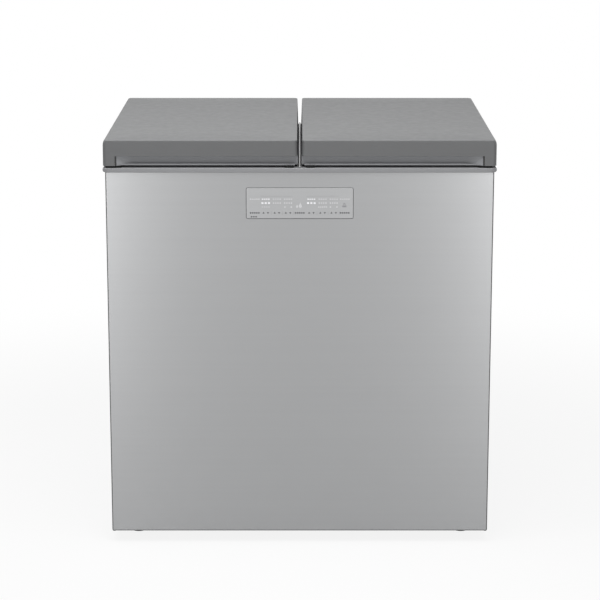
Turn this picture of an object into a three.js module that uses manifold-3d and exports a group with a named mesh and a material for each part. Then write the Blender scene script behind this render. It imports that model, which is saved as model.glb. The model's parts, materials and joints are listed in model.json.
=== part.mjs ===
// Two-lid chest kimchi refrigerator, built as an assembly of separate pieces.
// Millimetres, +Z up, front towards -Y, origin on the floor under the middle of the cabinet.
import * as THREE from 'three';
import { mergeVertices } from 'three/addons/utils/BufferGeometryUtils.js';
import Module from 'manifold-3d';

const wasm = await Module();
wasm.setup();

// ---------------------------------------------------------------- driving dimensions
const WIDTH = 930; // over the top frame
const DEPTH = 765; // from the frame's nose to the lids' rear skirt
const HEIGHT = 995; // to the crown of the lids
const GAP = 0.3; // between pieces that seat on each other
const SHEET = 1; // steel sheet of the cabinet
const MOULDING = 2.5; // wall of the moulded lid pieces

const cabinet = { halfWidth: WIDTH / 2 - 6.5, front: -378, back: 352, bottom: 28, top: 915.5, fold: 12 };
const frame = { front: -DEPTH / 2, back: 355, bottom: 916, top: 926, nose: 4, corner: 12 };
const deck = { bottom: 349, top: 350 };
const pan = { bottom: 30, top: 31.2, flange: 60 };
const tub = { inner: 30, outer: 408, front: -305, back: 275, floor: 425, wall: 2, corner: 40, rim: 10 };
const coil = { radius: 4, clearance: 10, turns: 3, low: 500, pitch: 80, riser: 100, tail: 170 };
const display = {
  halfWidth: 127,
  bottom: 804.5,
  top: 879.5,
  corner: 4.5,
  reveal: 1,
  proud: 0.5,
  thickness: 3,
};
const lid = {
  inner: 4.1,
  outer: WIDTH / 2 - 1.5,
  front: -379,
  back: DEPTH / 2,
  bottom: 931,
  edge: 991.5,
  shoulder: 2,
  corner: 9,
  draft: 2,
};
const lidSide = { inset: 5, height: 13 }; // rounding of a lid's outer long edge
const recess = { top: 954, wall: -355, end: 433, facet: 393, lip: -367 };
const hingeRoom = { halfWidth: 34, front: 353, top: 957 };
const plug = { inner: 38, outer: 400, front: -297, back: 267, bottom: 896, corner: 30 };
const seal = { width: 14, low: 926.3, high: 930.7, corner: 44 };
const hinge = { y: 368, z: 934, centres: [66, 400], pin: 4, knuckle: 8, ear: 26, earSheet: 3 };
const spring = { wire: 1.2, radius: 7, turns: 4, pitch: 4, start: 4, legUp: 19, legDown: 30 };
const foot = { x: 400, y: -282, pad: 20, stem: 4 };
const caster = { x: 400, y: 300, wheel: 13, width: 20, axle: 3 };
const fan = { x: -285, y: 190, z: 150, radius: 72, blades: 5 };
const compressor = { x: 225, y: 200, radius: 78 };

// ---------------------------------------------------------------- outlines
function polygon(points) {
  return new THREE.Shape(points.map(([a, b]) => new THREE.Vector2(a, b)));
}

function roundedRect(x0, x1, y0, y1, radius) {
  const shape = new THREE.Shape();
  shape.absarc(x1 - radius, y0 + radius, radius, -Math.PI / 2, 0, false);
  shape.absarc(x1 - radius, y1 - radius, radius, 0, Math.PI / 2, false);
  shape.absarc(x0 + radius, y1 - radius, radius, Math.PI / 2, Math.PI, false);
  shape.absarc(x0 + radius, y0 + radius, radius, Math.PI, Math.PI * 1.5, false);
  return shape;
}

function circlePoints(radius, sides) {
  const points = [];
  for (let i = 0; i < sides; i += 1) {
    const angle = (2 * Math.PI * i) / sides;
    points.push([radius * Math.cos(angle), radius * Math.sin(angle)]);
  }
  return points;
}

// ---------------------------------------------------------------- solids from outlines
function prism(shape, depth, curveSegments = 2) {
  return new THREE.ExtrudeGeometry(shape, { depth, bevelEnabled: false, curveSegments });
}

// Outline in X and Y, from z0 up to z1.
function extrudeZ(shape, z0, z1, curveSegments) {
  return prism(shape, z1 - z0, curveSegments).translate(0, 0, z0);
}

// Outline in X and Y that grows by its rounded edges, from z0 up to z1.
function softened(shape, z0, z1, edge, bevelSegments) {
  const depth = z1 - z0 - 2 * edge;
  const options = { depth, bevelThickness: edge, bevelSize: edge, bevelSegments, curveSegments: 2 };
  return new THREE.ExtrudeGeometry(shape, options).translate(0, 0, z0 + edge);
}

// Outline in Y and Z, from x0 to x1.
function extrudeX(shape, x0, x1, curveSegments) {
  const turn = new THREE.Matrix4().set(0, 0, 1, x0, 1, 0, 0, 0, 0, 1, 0, 0, 0, 0, 0, 1);
  return prism(shape, x1 - x0, curveSegments).applyMatrix4(turn);
}

// Outline in X and Z, from y0 to y1.
function extrudeY(shape, y0, y1, curveSegments) {
  return prism(shape, y1 - y0, curveSegments).rotateX(Math.PI / 2).translate(0, y1, 0);
}

function box(x0, x1, y0, y1, z0, z1) {
  const solid = new THREE.BoxGeometry(x1 - x0, y1 - y0, z1 - z0);
  return solid.translate((x0 + x1) / 2, (y0 + y1) / 2, (z0 + z1) / 2);
}

// Turned solid: [radius, height] points from the axis at the bottom to the axis at the top.
function turned(profile, segments = 20) {
  const points = profile.map(([radius, height]) => new THREE.Vector2(radius, height));
  return new THREE.LatheGeometry(points, segments).rotateX(Math.PI / 2);
}

function rodZ(x, y, z0, z1, radius, sides = 16) {
  return extrudeZ(polygon(circlePoints(radius, sides)), z0, z1).translate(x, y, 0);
}

function rodX(x0, x1, y, z, radius, sides = 16) {
  return extrudeX(polygon(circlePoints(radius, sides)), x0, x1).translate(0, y, z);
}

function rodY(x, z, y0, y1, radius, sides = 16) {
  return extrudeY(polygon(circlePoints(radius, sides)), y0, y1).translate(x, 0, z);
}

// ---------------------------------------------------------------- lofted bodies
// Ring of a rounded rectangle at one height, counter-clockwise seen from above.
function ring(x0, x1, y0, y1, radius, z, steps = 4) {
  const corners = [
    [x1 - radius, y0 + radius, -Math.PI / 2],
    [x1 - radius, y1 - radius, 0],
    [x0 + radius, y1 - radius, Math.PI / 2],
    [x0 + radius, y0 + radius, Math.PI],
  ];
  return corners.flatMap(([cx, cy, start]) => {
    const arc = [];
    for (let i = 0; i <= steps; i += 1) {
      const angle = start + (Math.PI / 2) * (i / steps);
      arc.push(new THREE.Vector3(cx + radius * Math.cos(angle), cy + radius * Math.sin(angle), z));
    }
    return arc;
  });
}

// Closed body through rings of equal counts, from the lowest to the highest.
function loft(rings, crownZ) {
  const count = rings[0].length;
  const middle = (points, z) => {
    const sum = points.reduce((total, point) => total.add(point), new THREE.Vector3());
    return sum.divideScalar(points.length).setZ(z);
  };
  const vertices = [...rings.flat(), middle(rings[0], rings[0][0].z), middle(rings.at(-1), crownZ)];
  const bottom = vertices.length - 2;
  const top = vertices.length - 1;
  const faces = [];
  for (let j = 0; j < count; j += 1) {
    const next = (j + 1) % count;
    for (let i = 0; i < rings.length - 1; i += 1) {
      const a = i * count + j;
      const b = i * count + next;
      faces.push(a, b, b + count, a, b + count, a + count);
    }
    const last = (rings.length - 1) * count;
    faces.push(bottom, next, j, top, last + j, last + next);
  }
  const geometry = new THREE.BufferGeometry();
  const numbers = vertices.flatMap((vertex) => vertex.toArray());
  geometry.setAttribute('position', new THREE.Float32BufferAttribute(numbers, 3));
  geometry.setIndex(faces);
  return geometry;
}

// ---------------------------------------------------------------- tubes
// Route through given stations; the tube gets one ring of points at each station.
class Route extends THREE.Curve {
  constructor(stations) {
    super();
    this.stations = stations;
  }

  getUtoTmapping(u) {
    return u;
  }

  getPoint(t, target = new THREE.Vector3()) {
    const last = this.stations.length - 1;
    const place = THREE.MathUtils.clamp(t, 0, 1) * last;
    const index = Math.min(Math.floor(place), last - 1);
    return target.lerpVectors(this.stations[index], this.stations[index + 1], place - index);
  }
}

function tube(stations, radius, sides = 6) {
  const options = { steps: stations.length - 1, extrudePath: new Route(stations), bevelEnabled: false };
  return new THREE.ExtrudeGeometry(polygon(circlePoints(radius, sides)), options);
}

// Straight runs between corners, each corner rounded by a bend.
function bentStations(corners, bend, steps = 3) {
  const points = corners.map((corner) => new THREE.Vector3(...corner));
  const stations = [points[0]];
  for (let i = 1; i < points.length - 1; i += 1) {
    const before = points[i - 1].clone().sub(points[i]).setLength(bend).add(points[i]);
    const after = points[i + 1].clone().sub(points[i]).setLength(bend).add(points[i]);
    stations.push(...new THREE.QuadraticBezierCurve3(before, points[i], after).getPoints(steps));
  }
  stations.push(points.at(-1));
  return stations;
}

function pipe(corners, radius, bend, sides = 6) {
  return tube(bentStations(corners, bend), radius, sides);
}

// ---------------------------------------------------------------- joining and cutting
// Shared vertices merged and triangles without area dropped.
function welded(geometry) {
  const bare = geometry.clone();
  bare.deleteAttribute('normal');
  bare.deleteAttribute('uv');
  const merged = mergeVertices(bare, 1e-3);
  const corners = merged.index.array;
  const kept = [];
  for (let i = 0; i < corners.length; i += 3) {
    const [a, b, c] = [corners[i], corners[i + 1], corners[i + 2]];
    if (a !== b && b !== c && c !== a) {
      kept.push(a, b, c);
    }
  }
  merged.setIndex(kept);
  return merged;
}

function toSolid(geometry) {
  const mesh = welded(geometry);
  const vertProperties = mesh.attributes.position.array;
  const triVerts = Uint32Array.from(mesh.index.array);
  return new wasm.Manifold(new wasm.Mesh({ numProp: 3, vertProperties, triVerts }));
}

function toGeometry(solid) {
  const mesh = solid.getMesh();
  const geometry = new THREE.BufferGeometry();
  geometry.setAttribute('position', new THREE.BufferAttribute(mesh.vertProperties, 3));
  geometry.setIndex(Array.from(mesh.triVerts));
  return geometry;
}

function join(...parts) {
  return toGeometry(parts.map(toSolid).reduce((whole, part) => whole.add(part)));
}

function cut(body, ...tools) {
  return toGeometry(tools.map(toSolid).reduce((rest, tool) => rest.subtract(tool), toSolid(body)));
}

function common(one, other) {
  return toGeometry(toSolid(one).intersect(toSolid(other)));
}

// The same piece for the other hand, its faces still turned outwards.
function mirrored(geometry) {
  const copy = welded(geometry).scale(-1, 1, 1);
  const corners = copy.index.array;
  const turnedOver = [];
  for (let i = 0; i < corners.length; i += 3) {
    turnedOver.push(corners[i], corners[i + 2], corners[i + 1]);
  }
  copy.setIndex(turnedOver);
  return copy;
}

// ---------------------------------------------------------------- cabinet shell
function frontPanel() {
  const { halfWidth, front, bottom, top } = cabinet;
  const bend = 3;
  const inside = bend - SHEET;
  const back = front + 17;
  const plan = new THREE.Shape();
  plan.moveTo(halfWidth, back);
  plan.lineTo(halfWidth - SHEET, back);
  plan.absarc(halfWidth - bend, front + bend, inside, 0, -Math.PI / 2, true);
  plan.absarc(-halfWidth + bend, front + bend, inside, -Math.PI / 2, -Math.PI, true);
  plan.lineTo(-halfWidth + SHEET, back);
  plan.lineTo(-halfWidth, back);
  plan.absarc(-halfWidth + bend, front + bend, bend, Math.PI, Math.PI * 1.5, false);
  plan.absarc(halfWidth - bend, front + bend, bend, -Math.PI / 2, 0, false);
  const folded = extrudeZ(plan, bottom, top);
  const lowerCorner = 4;
  const face = roundedRect(-halfWidth, halfWidth, bottom, top + lowerCorner, lowerCorner);
  const outline = extrudeY(face, front - 1, back + 1);
  const end = halfWidth - 2 * lowerCorner;
  const edge = box(-end, end, front - 1, front + SHEET + 1, bottom - 1, bottom + bend);
  const hem = new THREE.Shape();
  hem.moveTo(back, bottom);
  hem.lineTo(back, bottom + SHEET);
  hem.absarc(front + bend, bottom + bend, inside, -Math.PI / 2, -Math.PI, true);
  hem.absarc(front + bend, bottom + bend, bend, Math.PI, Math.PI * 1.5, false);
  const shell = join(cut(common(folded, outline), edge), extrudeX(hem, -end, end));
  return cut(shell, extrudeY(displayOutline(0), front - 1, front + 5));
}

function sidePanel() {
  const { halfWidth, bottom, top, fold } = cabinet;
  const front = cabinet.front + 18;
  const back = cabinet.back - SHEET - GAP;
  const plan = polygon([
    [halfWidth - fold, front],
    [halfWidth, front],
    [halfWidth, back],
    [halfWidth - fold, back],
    [halfWidth - fold, back - SHEET],
    [halfWidth - SHEET, back - SHEET],
    [halfWidth - SHEET, front + SHEET],
    [halfWidth - fold, front + SHEET],
  ]);
  const sill = box(halfWidth - fold, halfWidth - SHEET / 2, front, back, bottom, bottom + SHEET);
  return join(extrudeZ(plan, bottom, top), sill);
}

function backPanel() {
  const edge = cabinet.halfWidth - 1;
  const sheet = roundedRect(-edge, edge, deck.top + 2.3, cabinet.top, 4);
  return extrudeY(sheet, cabinet.back - SHEET, cabinet.back);
}

const louvre = { rows: 7, pitch: 22, low: 110, height: 10, halfWidth: 95, centres: [-300, 225], reach: 5 };
const cordInlet = { x: 390, z: 75, radius: 12 };

function machineCover() {
  const edge = cabinet.halfWidth - 6.5;
  const outside = cabinet.back;
  const inside = cabinet.back - SHEET;
  const sheet = extrudeY(roundedRect(-edge, edge, pan.bottom + 3, deck.top + 1.7, 4), inside, outside);
  const windows = [];
  const hoods = [];
  for (const centre of louvre.centres) {
    for (let row = 0; row < louvre.rows; row += 1) {
      const low = louvre.low + row * louvre.pitch;
      const high = low + louvre.height;
      const x0 = centre - louvre.halfWidth;
      const x1 = centre + louvre.halfWidth;
      windows.push(box(x0, x1, inside - 1, outside + 1, low, high));
      const hood = polygon([
        [inside, high],
        [outside + louvre.reach, low + 1],
        [outside + louvre.reach, low + 2.2],
        [inside, high + 1.4],
      ]);
      hoods.push(extrudeX(hood, x0 - 2, x1 + 2));
    }
  }
  const inlet = rodY(cordInlet.x, cordInlet.z, inside - 1, outside + 1, cordInlet.radius);
  return join(cut(sheet, ...windows, inlet), ...hoods);
}

function cordBushing() {
  const { radius } = cordInlet;
  const neck = radius - GAP;
  const profile = [
    [5, -9],
    [neck, -9],
    [neck, GAP],
    [radius + 4, GAP],
    [radius + 4, 3],
    [radius, 6],
    [5, 6],
    [5, -9],
  ];
  return turned(profile, 16).rotateX(-Math.PI / 2).translate(cordInlet.x, cabinet.back, cordInlet.z);
}

// Inside of the side panels' folds, where the pan and the deck lie.
const floorPlan = {
  halfWidth: cabinet.halfWidth - SHEET - GAP,
  front: cabinet.front + 19 + GAP,
  back: 349.4,
};

function basePan() {
  const { halfWidth, front, back } = floorPlan;
  const wall = pan.top - pan.bottom;
  const tray = box(-halfWidth, halfWidth, front, back, pan.bottom, pan.flange);
  const hollow = box(-halfWidth + wall, halfWidth - wall, front + wall, back - wall, pan.top, pan.flange + 1);
  const holes = [-foot.x, foot.x].map((x) => rodZ(x, foot.y, pan.bottom - 1, pan.top + 1, foot.stem + 0.5));
  const slots = [];
  for (let i = 0; i < 8; i += 1) {
    const y = 100 + i * 25;
    slots.push(box(-385, -335, y, y + 8, pan.bottom - 1, pan.top + 1));
  }
  return cut(tray, hollow, ...holes, ...slots);
}

function deckPanel() {
  const { halfWidth, front, back } = floorPlan;
  const sheet = box(-halfWidth, halfWidth, front, back, deck.bottom, deck.top);
  const holes = pipePlaces().map(([x, y]) => rodZ(x, y, deck.bottom - 1, deck.top + 1, 7, 12));
  return cut(sheet, ...holes);
}

// ---------------------------------------------------------------- top frame and centre trim
function topFrame() {
  const { front, back, bottom, top, nose, corner } = frame;
  const half = WIDTH / 2;
  const outline = roundedRect(-half + nose, half - nose, front + nose, back - nose, corner);
  const mouth = 4;
  for (const side of [-1, 1]) {
    const near = side * (tub.inner - mouth - nose);
    const far = side * (tub.outer + mouth + nose);
    const [x0, x1] = [Math.min(near, far), Math.max(near, far)];
    const y0 = tub.front - mouth - nose;
    const y1 = tub.back + mouth + nose;
    outline.holes.push(new THREE.Path(roundedRect(x0, x1, y0, y1, tub.corner + 4).getPoints(2)));
  }
  return softened(outline, bottom, top, nose, 2);
}

function centreTrim() {
  const halfWidth = 2.4;
  const low = frame.top + GAP;
  const high = frame.top + 4;
  const crown = polygon([
    [-halfWidth, low],
    [halfWidth, low],
    [halfWidth, high - 1],
    [halfWidth - 0.8, high],
    [-halfWidth + 0.8, high],
    [-halfWidth, high - 1],
  ]);
  return extrudeY(crown, frame.front + 5, frame.back - 6);
}

// ---------------------------------------------------------------- tubs, foam and evaporators
// Rounded box with rounded lower edges, from z0 up to z1; grow widens it on every side.
function tubBody(grow, z0, z1) {
  const soft = 22 + grow;
  const outline = roundedRect(
    tub.inner - grow + soft,
    tub.outer + grow - soft,
    tub.front - grow + soft,
    tub.back + grow - soft,
    tub.corner + grow - soft,
  );
  const tall = softened(outline, z0, z1 + soft, soft, 2);
  return common(tall, box(0, WIDTH, -DEPTH, DEPTH, 0, z1));
}

function innerTub() {
  const rimTop = frame.bottom - GAP;
  const outside = tubBody(tub.wall, tub.floor - tub.wall, rimTop);
  const flange = roundedRect(
    tub.inner - tub.rim,
    tub.outer + tub.rim,
    tub.front - tub.rim,
    tub.back + tub.rim,
    tub.corner + tub.rim,
  );
  const shell = join(outside, extrudeZ(flange, rimTop - tub.wall, rimTop, 2));
  const rests = [];
  for (const y of [-205, -15, 175]) {
    const rest = polygon([
      [y - 12, tub.floor - 1],
      [y + 12, tub.floor - 1],
      [y + 7, tub.floor + 4],
      [y - 7, tub.floor + 4],
    ]);
    rests.push(extrudeX(rest, tub.inner + 40, tub.outer - 40));
  }
  return join(cut(shell, tubBody(0, tub.floor, rimTop + 10)), ...rests);
}

// Where the evaporators' tubes come down through the foam and the deck.
function pipePlaces() {
  const line = coilLine();
  const places = [];
  for (const side of [-1, 1]) {
    places.push([side * coil.riser, line.back]);
    places.push([side * coil.tail, line.back + 12]);
  }
  return places;
}

function coilLine() {
  const away = tub.wall + coil.clearance / 2;
  return {
    inner: tub.inner - away,
    outer: tub.outer + away,
    front: tub.front - away,
    back: tub.back + away,
    corner: tub.corner + away,
  };
}

function evaporator() {
  const line = coilLine();
  const perTurn = 20;
  const stations = [
    new THREE.Vector3(coil.riser, line.back, deck.bottom - 9),
    new THREE.Vector3(coil.riser, line.back, coil.low - 20),
    new THREE.Vector3(coil.riser + 6, line.back, coil.low - 6),
    new THREE.Vector3(coil.riser + 20, line.back, coil.low),
  ];
  for (let turn = 0; turn < coil.turns; turn += 1) {
    const loop = ring(line.inner, line.outer, line.front, line.back, line.corner, 0).reverse();
    // The loop starts at the rear corner that lies away from the middle wall.
    const rear = Math.max(...loop.map((point) => point.y));
    const start = loop.findIndex((point) => point.y === rear && point.x > tub.outer / 2);
    for (let i = 0; i < perTurn; i += 1) {
      const point = loop[(start + i) % perTurn].clone();
      stations.push(point.setZ(coil.low + coil.pitch * (turn + (i + 1) / perTurn)));
    }
  }
  const high = coil.low + coil.pitch * coil.turns + 4;
  stations.push(new THREE.Vector3(coil.tail - 22, line.back, high));
  stations.push(new THREE.Vector3(coil.tail - 10, line.back + 4, high));
  stations.push(new THREE.Vector3(coil.tail - 2, line.back + 10, high - 4));
  stations.push(new THREE.Vector3(coil.tail, line.back + 12, high - 14));
  stations.push(new THREE.Vector3(coil.tail, line.back + 12, deck.bottom - 9));
  return tube(stations, coil.radius, 5);
}

function cabinetFoam() {
  const halfWidth = cabinet.halfWidth - SHEET - GAP;
  const front = cabinet.front + SHEET + GAP;
  const back = cabinet.back - SHEET - GAP;
  const top = frame.bottom - tub.wall - 2 * GAP;
  const block = extrudeZ(roundedRect(-halfWidth, halfWidth, front, back, 3), deck.top + GAP, top);
  const grow = tub.wall + coil.clearance;
  const pocket = roundedRect(
    tub.inner - grow,
    tub.outer + grow,
    tub.front - grow,
    tub.back + grow,
    tub.corner + grow,
  );
  const tools = [extrudeZ(pocket, tub.floor - tub.wall - GAP, top + 1, 3)];
  tools.push(mirrored(tools[0]));
  const fold = cabinet.halfWidth - cabinet.fold - GAP;
  for (const side of [-1, 1]) {
    const [x0, x1] = side < 0 ? [-halfWidth - 1, -fold] : [fold, halfWidth + 1];
    tools.push(box(x0, x1, front + 16, front + 18.3, deck.top, top + 1));
    tools.push(box(x0, x1, back - 1.5, back + 1, deck.top, top + 1));
    const [t0, t1] = [side * (coil.tail - 24), side * (coil.tail + 9)].sort((a, b) => a - b);
    tools.push(box(t0, t1, tub.back + 11, tub.back + 28, deck.top, coil.low + 270));
    tools.push(rodZ(side * coil.riser, coilLine().back, deck.top, tub.floor, 7, 12));
  }
  const { halfWidth: reach, low, high, back: depth } = housingBox;
  tools.push(box(-reach - 12, reach + 12, front - 1, depth + GAP, low - 12, high + 12));
  return cut(block, ...tools);
}

// ---------------------------------------------------------------- control display
const housingBox = { halfWidth: 131, low: display.bottom - 4, high: display.top + 4, back: -351 };

// Opening in the front panel, or the window that leaves a reveal of the given width inside it.
function displayOutline(reveal) {
  const { halfWidth, bottom, top, corner } = display;
  const edge = halfWidth - reveal;
  return roundedRect(-edge, edge, bottom + reveal, top - reveal, corner - reveal);
}

function displayWindow() {
  const front = cabinet.front - display.proud;
  return extrudeY(displayOutline(display.reveal), front, front + display.thickness);
}

function displayHousing() {
  const { halfWidth, low, high, back } = housingBox;
  const front = cabinet.front + SHEET + GAP;
  const outline = (grow, corner) =>
    roundedRect(-halfWidth - grow, halfWidth + grow, low - grow, high + grow, corner);
  const flange = extrudeY(outline(10, 8), front, front + 2);
  const shell = extrudeY(outline(0, 6), front, back);
  const pocket = extrudeY(outline(-2, 4), front - 1, back - 2);
  const ledge = display.thickness - display.proud - SHEET;
  const posts = [];
  for (const x of [-halfWidth + 8, halfWidth - 8]) {
    for (const z of [low + 8, high - 8]) {
      posts.push(rodY(x, z, front + ledge, back - 1, 4, 8));
    }
  }
  return join(cut(join(flange, shell), pocket), ...posts);
}

function displayBoard() {
  const { halfWidth, low, high } = housingBox;
  const middle = (low + high) / 2;
  const back = -362;
  const edge = halfWidth - 14;
  const board = box(-edge, edge, back, back + 1.6, low + 5, high - 5);
  const lamps = [];
  for (const side of [-1, 1]) {
    for (let i = 0; i < 4; i += 1) {
      const x = side * (24 + i * 24);
      lamps.push(box(x - 8, x + 8, back - 9, back + 0.5, middle + 2, middle + 24));
      lamps.push(rodY(x, middle - 18, back - 9, back + 0.5, 5, 8));
    }
  }
  return join(board, ...lamps);
}

// ---------------------------------------------------------------- machine compartment
function compressorUnit() {
  const { radius } = compressor;
  const low = pan.top + GAP;
  const can = turned(
    [
      [0, low + 14],
      [radius * 0.75, low + 16],
      [radius * 0.96, low + 30],
      [radius * 0.97, low + 76],
      [radius, low + 76],
      [radius, low + 84],
      [radius * 0.97, low + 84],
      [radius * 0.95, low + 145],
      [radius * 0.7, low + 175],
      [0, low + 186],
    ],
    16,
  );
  const plate = extrudeZ(roundedRect(-100, 100, -70, 70, 16), low + 11, low + 14.5);
  const mounts = [];
  for (const x of [-84, 84]) {
    for (const y of [-54, 54]) {
      mounts.push(rodZ(x, y, low, low + 18, 10, 8));
    }
  }
  const relay = box(radius - 14, radius + 24, -30, 30, low + 88, low + 138);
  const stub = rodX(-radius - 12, -radius + 12, 0, low + 100, 4, 8);
  const rise = rodY(30, low + 130, radius - 20, radius + 8, 4, 8);
  return join(can, plate, ...mounts, relay, stub, rise).translate(compressor.x, compressor.y, 0);
}

function suctionPipe() {
  const level = 310;
  const [tailX, tailY] = pipePlaces()[3];
  const from = deck.bottom - 10;
  const { x, y, radius } = compressor;
  const stubY = y + radius + 8 + GAP;
  const main = pipe(
    [
      [-tailX, tailY, from],
      [-tailX, tailY, level],
      [x + 30, tailY, level],
      [x + 30, tailY + 26, level - 30],
      [x + 30, tailY + 26, pan.top + 130 + GAP],
      [x + 30, stubY, pan.top + 130 + GAP],
    ],
    4,
    14,
    8,
  );
  const branch = rodZ(tailX, tailY, level, from, 4, 8);
  return join(main, branch);
}

const drier = { x: 40, y: 305, low: 170, high: 270, radius: 11 };

function filterDrier() {
  const { x, y, low, high, radius } = drier;
  const profile = [
    [0, low - 12],
    [3, low - 12],
    [3, low],
    [radius, low + 10],
    [radius, high - 10],
    [2, high],
    [0, high],
  ];
  const capsule = turned(profile, 16);
  const [riserX, riserY] = pipePlaces()[2];
  const top = deck.bottom - 10;
  const level = high + 18;
  const first = [
    [x, y, high - 4],
    [x, y, level],
    [x, riserY, level],
    [riserX, riserY, level],
    [riserX, riserY, top],
  ];
  const second = [
    [x, riserY + 6, level],
    [x, riserY, level],
    [-riserX, riserY, level],
    [-riserX, riserY, top],
  ];
  const line = pipe(first, 2, 6);
  const other = pipe(second, 2, 5);
  return join(capsule.translate(x, y, 0), line, other);
}

const condenser = { near: -345, far: -385, front: 85, back: 300, low: 70, pitch: 36, levels: 5, radius: 3.5 };

function condenserCoil() {
  const { near, far, front, back, low, pitch, levels, radius } = condenser;
  const high = low + pitch * (levels - 1);
  const corners = [];
  for (const [column, x] of [near, far].entries()) {
    for (let i = 0; i < levels; i += 1) {
      const z = column === 0 ? high - i * pitch : low + i * pitch;
      const ends = (i + column * levels) % 2 === 0 ? [front, back] : [back, front];
      corners.push([x, ends[0], z], [x, ends[1], z]);
    }
  }
  const inlet = [
    [compressor.x - compressor.radius - 12 - GAP, compressor.y, pan.top + GAP + 100],
    [110, compressor.y, pan.top + 100 + GAP],
    [110, 40, pan.top + 100],
    [near, 40, high + 10],
  ];
  const outlet = [
    [far, 40, high + 30],
    [60, 40, high + 60],
    [drier.x - 30, 280, 120],
    [drier.x, drier.y, 120],
    [drier.x, drier.y, drier.low - 12 - GAP],
  ];
  const coiled = tube(bentStations([...inlet, ...corners, ...outlet], 12, 1), radius, 5);
  const plates = [front + 25, back - 25].map((y) => {
    return box(far - 18, near + 18, y, y + 2, pan.top + GAP, high + 20);
  });
  return join(coiled, ...plates);
}

function fanShroud() {
  const { x, y, z, radius } = fan;
  const bore = radius + 5;
  const face = extrudeX(roundedRect(y - 105, y + 105, pan.top + GAP, z + 112, 8), x, x + 2);
  const collar = rodX(x, x + 24, y, z, bore + 2, 24);
  return cut(join(face, collar), rodX(x - 1, x + 25, y, z, bore, 24));
}

function fanMotor() {
  const { x, y, z, radius } = fan;
  const bar = x + 38;
  const body = rodX(bar, bar + 30, y, z, 24, 20);
  const shaft = rodX(x + 10, bar + 1, y, z, 2.5, 10);
  const strap = box(bar, bar + 3, y - 10, y + 10, z - radius - 24, z + radius + 24);
  const posts = [-1, 1].map((side) => rodX(x + 2 + GAP, bar + 1, y, z + side * (radius + 17), 4, 8));
  return join(body, shaft, strap, ...posts);
}

function fanBlade() {
  const { x, y, z, radius, blades } = fan;
  const hub = rodX(-8, 10, 0, 0, 17, 20);
  const pieces = [hub];
  const outline = polygon([
    [14, -12],
    [radius - 8, -26],
    [radius, -18],
    [radius - 2, 20],
    [radius - 14, 24],
    [14, 10],
  ]);
  const pitchAngle = 0.5;
  for (let i = 0; i < blades; i += 1) {
    const blade = prism(outline, 1.6).translate(0, 0, -0.8).rotateX(pitchAngle);
    blade.applyMatrix4(new THREE.Matrix4().set(0, 0, 1, 0, 1, 0, 0, 0, 0, 1, 0, 0, 0, 0, 0, 1));
    pieces.push(blade.rotateX((2 * Math.PI * i) / blades));
  }
  const bore = rodX(-4, 11, 0, 0, 2.8, 10);
  const trim = rodX(-20, 20, 0, 0, radius, 24);
  return common(cut(join(...pieces), bore), trim).translate(x + 13, y, z);
}

function controlBox() {
  const top = deck.bottom - GAP;
  const tray = extrudeZ(roundedRect(300, 440, -230, -50, 6), top - 62, top - 8);
  const cover = extrudeZ(roundedRect(296, 444, -234, -46, 8), top - 8, top);
  const glands = [-190, -140, -90].map((y) => rodX(292, 302, y, top - 36, 9, 12));
  return join(tray, cover, ...glands);
}

// ---------------------------------------------------------------- feet and casters
function levellingFoot() {
  const pad = turned([[0, 0], [foot.pad - 2, 0], [foot.pad, 2], [foot.pad, 5], [9, 9], [0, 9]], 16);
  const hexagon = rodZ(0, 0, 8, 15, 9, 6);
  const stem = rodZ(0, 0, 14, 55, foot.stem, 12);
  return join(pad, hexagon, stem);
}

function casterFork() {
  const { wheel, width, axle } = caster;
  const top = pan.bottom - GAP;
  const plate = extrudeZ(roundedRect(-22, 22, -22, 22, 5), top - 3, top);
  const cheekOutline = new THREE.Shape();
  cheekOutline.moveTo(12, top - 1);
  cheekOutline.lineTo(-12, top - 1);
  cheekOutline.lineTo(-8, wheel);
  cheekOutline.absarc(0, wheel, 8, Math.PI, Math.PI * 2, false);
  const cheeks = [-1, 1].map((side) => {
    const near = side * (width / 2 + 1.5);
    const far = side * (width / 2 + 4);
    return extrudeX(cheekOutline, Math.min(near, far), Math.max(near, far), 2);
  });
  const hole = rodX(-width, width, 0, wheel, axle + GAP, 12);
  return cut(join(plate, ...cheeks), hole);
}

function casterAxle() {
  const half = caster.width / 2;
  const shank = rodX(-half - 5, half + 5, 0, caster.wheel, caster.axle, 12);
  const head = rodX(half + 4.3, half + 6.5, 0, caster.wheel, caster.axle + 2.5, 12);
  return join(shank, head);
}

function casterWheel() {
  const { wheel, width, axle } = caster;
  const half = width / 2;
  const bore = axle + GAP;
  const tread = [
    [bore, -half],
    [wheel - 2, -half],
    [wheel, -half + 2],
    [wheel, half - 2],
    [wheel - 2, half],
    [bore, half],
    [bore, -half],
  ];
  return turned(tread, 16).rotateY(Math.PI / 2).translate(0, 0, wheel);
}

// ---------------------------------------------------------------- hinges
// Cheek of a bracket in Y and Z: foot on the back panel, eye round the pin.
function earOutline() {
  const plateY = cabinet.back + GAP;
  const eye = 9;
  const low = 885;
  const tip = new THREE.Vector2(plateY + hinge.earSheet - hinge.y, low - hinge.z);
  const tangent = tip.angle() + Math.acos(eye / tip.length());
  const shape = new THREE.Shape();
  shape.moveTo(plateY, low);
  shape.lineTo(plateY + hinge.earSheet, low);
  shape.absarc(hinge.y, hinge.z, eye, tangent, Math.PI * 2 + Math.PI, false);
  shape.lineTo(frame.back + 0.6, hinge.z - 6);
  shape.lineTo(frame.back + 0.6, cabinet.top);
  shape.lineTo(plateY, cabinet.top);
  return shape;
}

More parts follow.
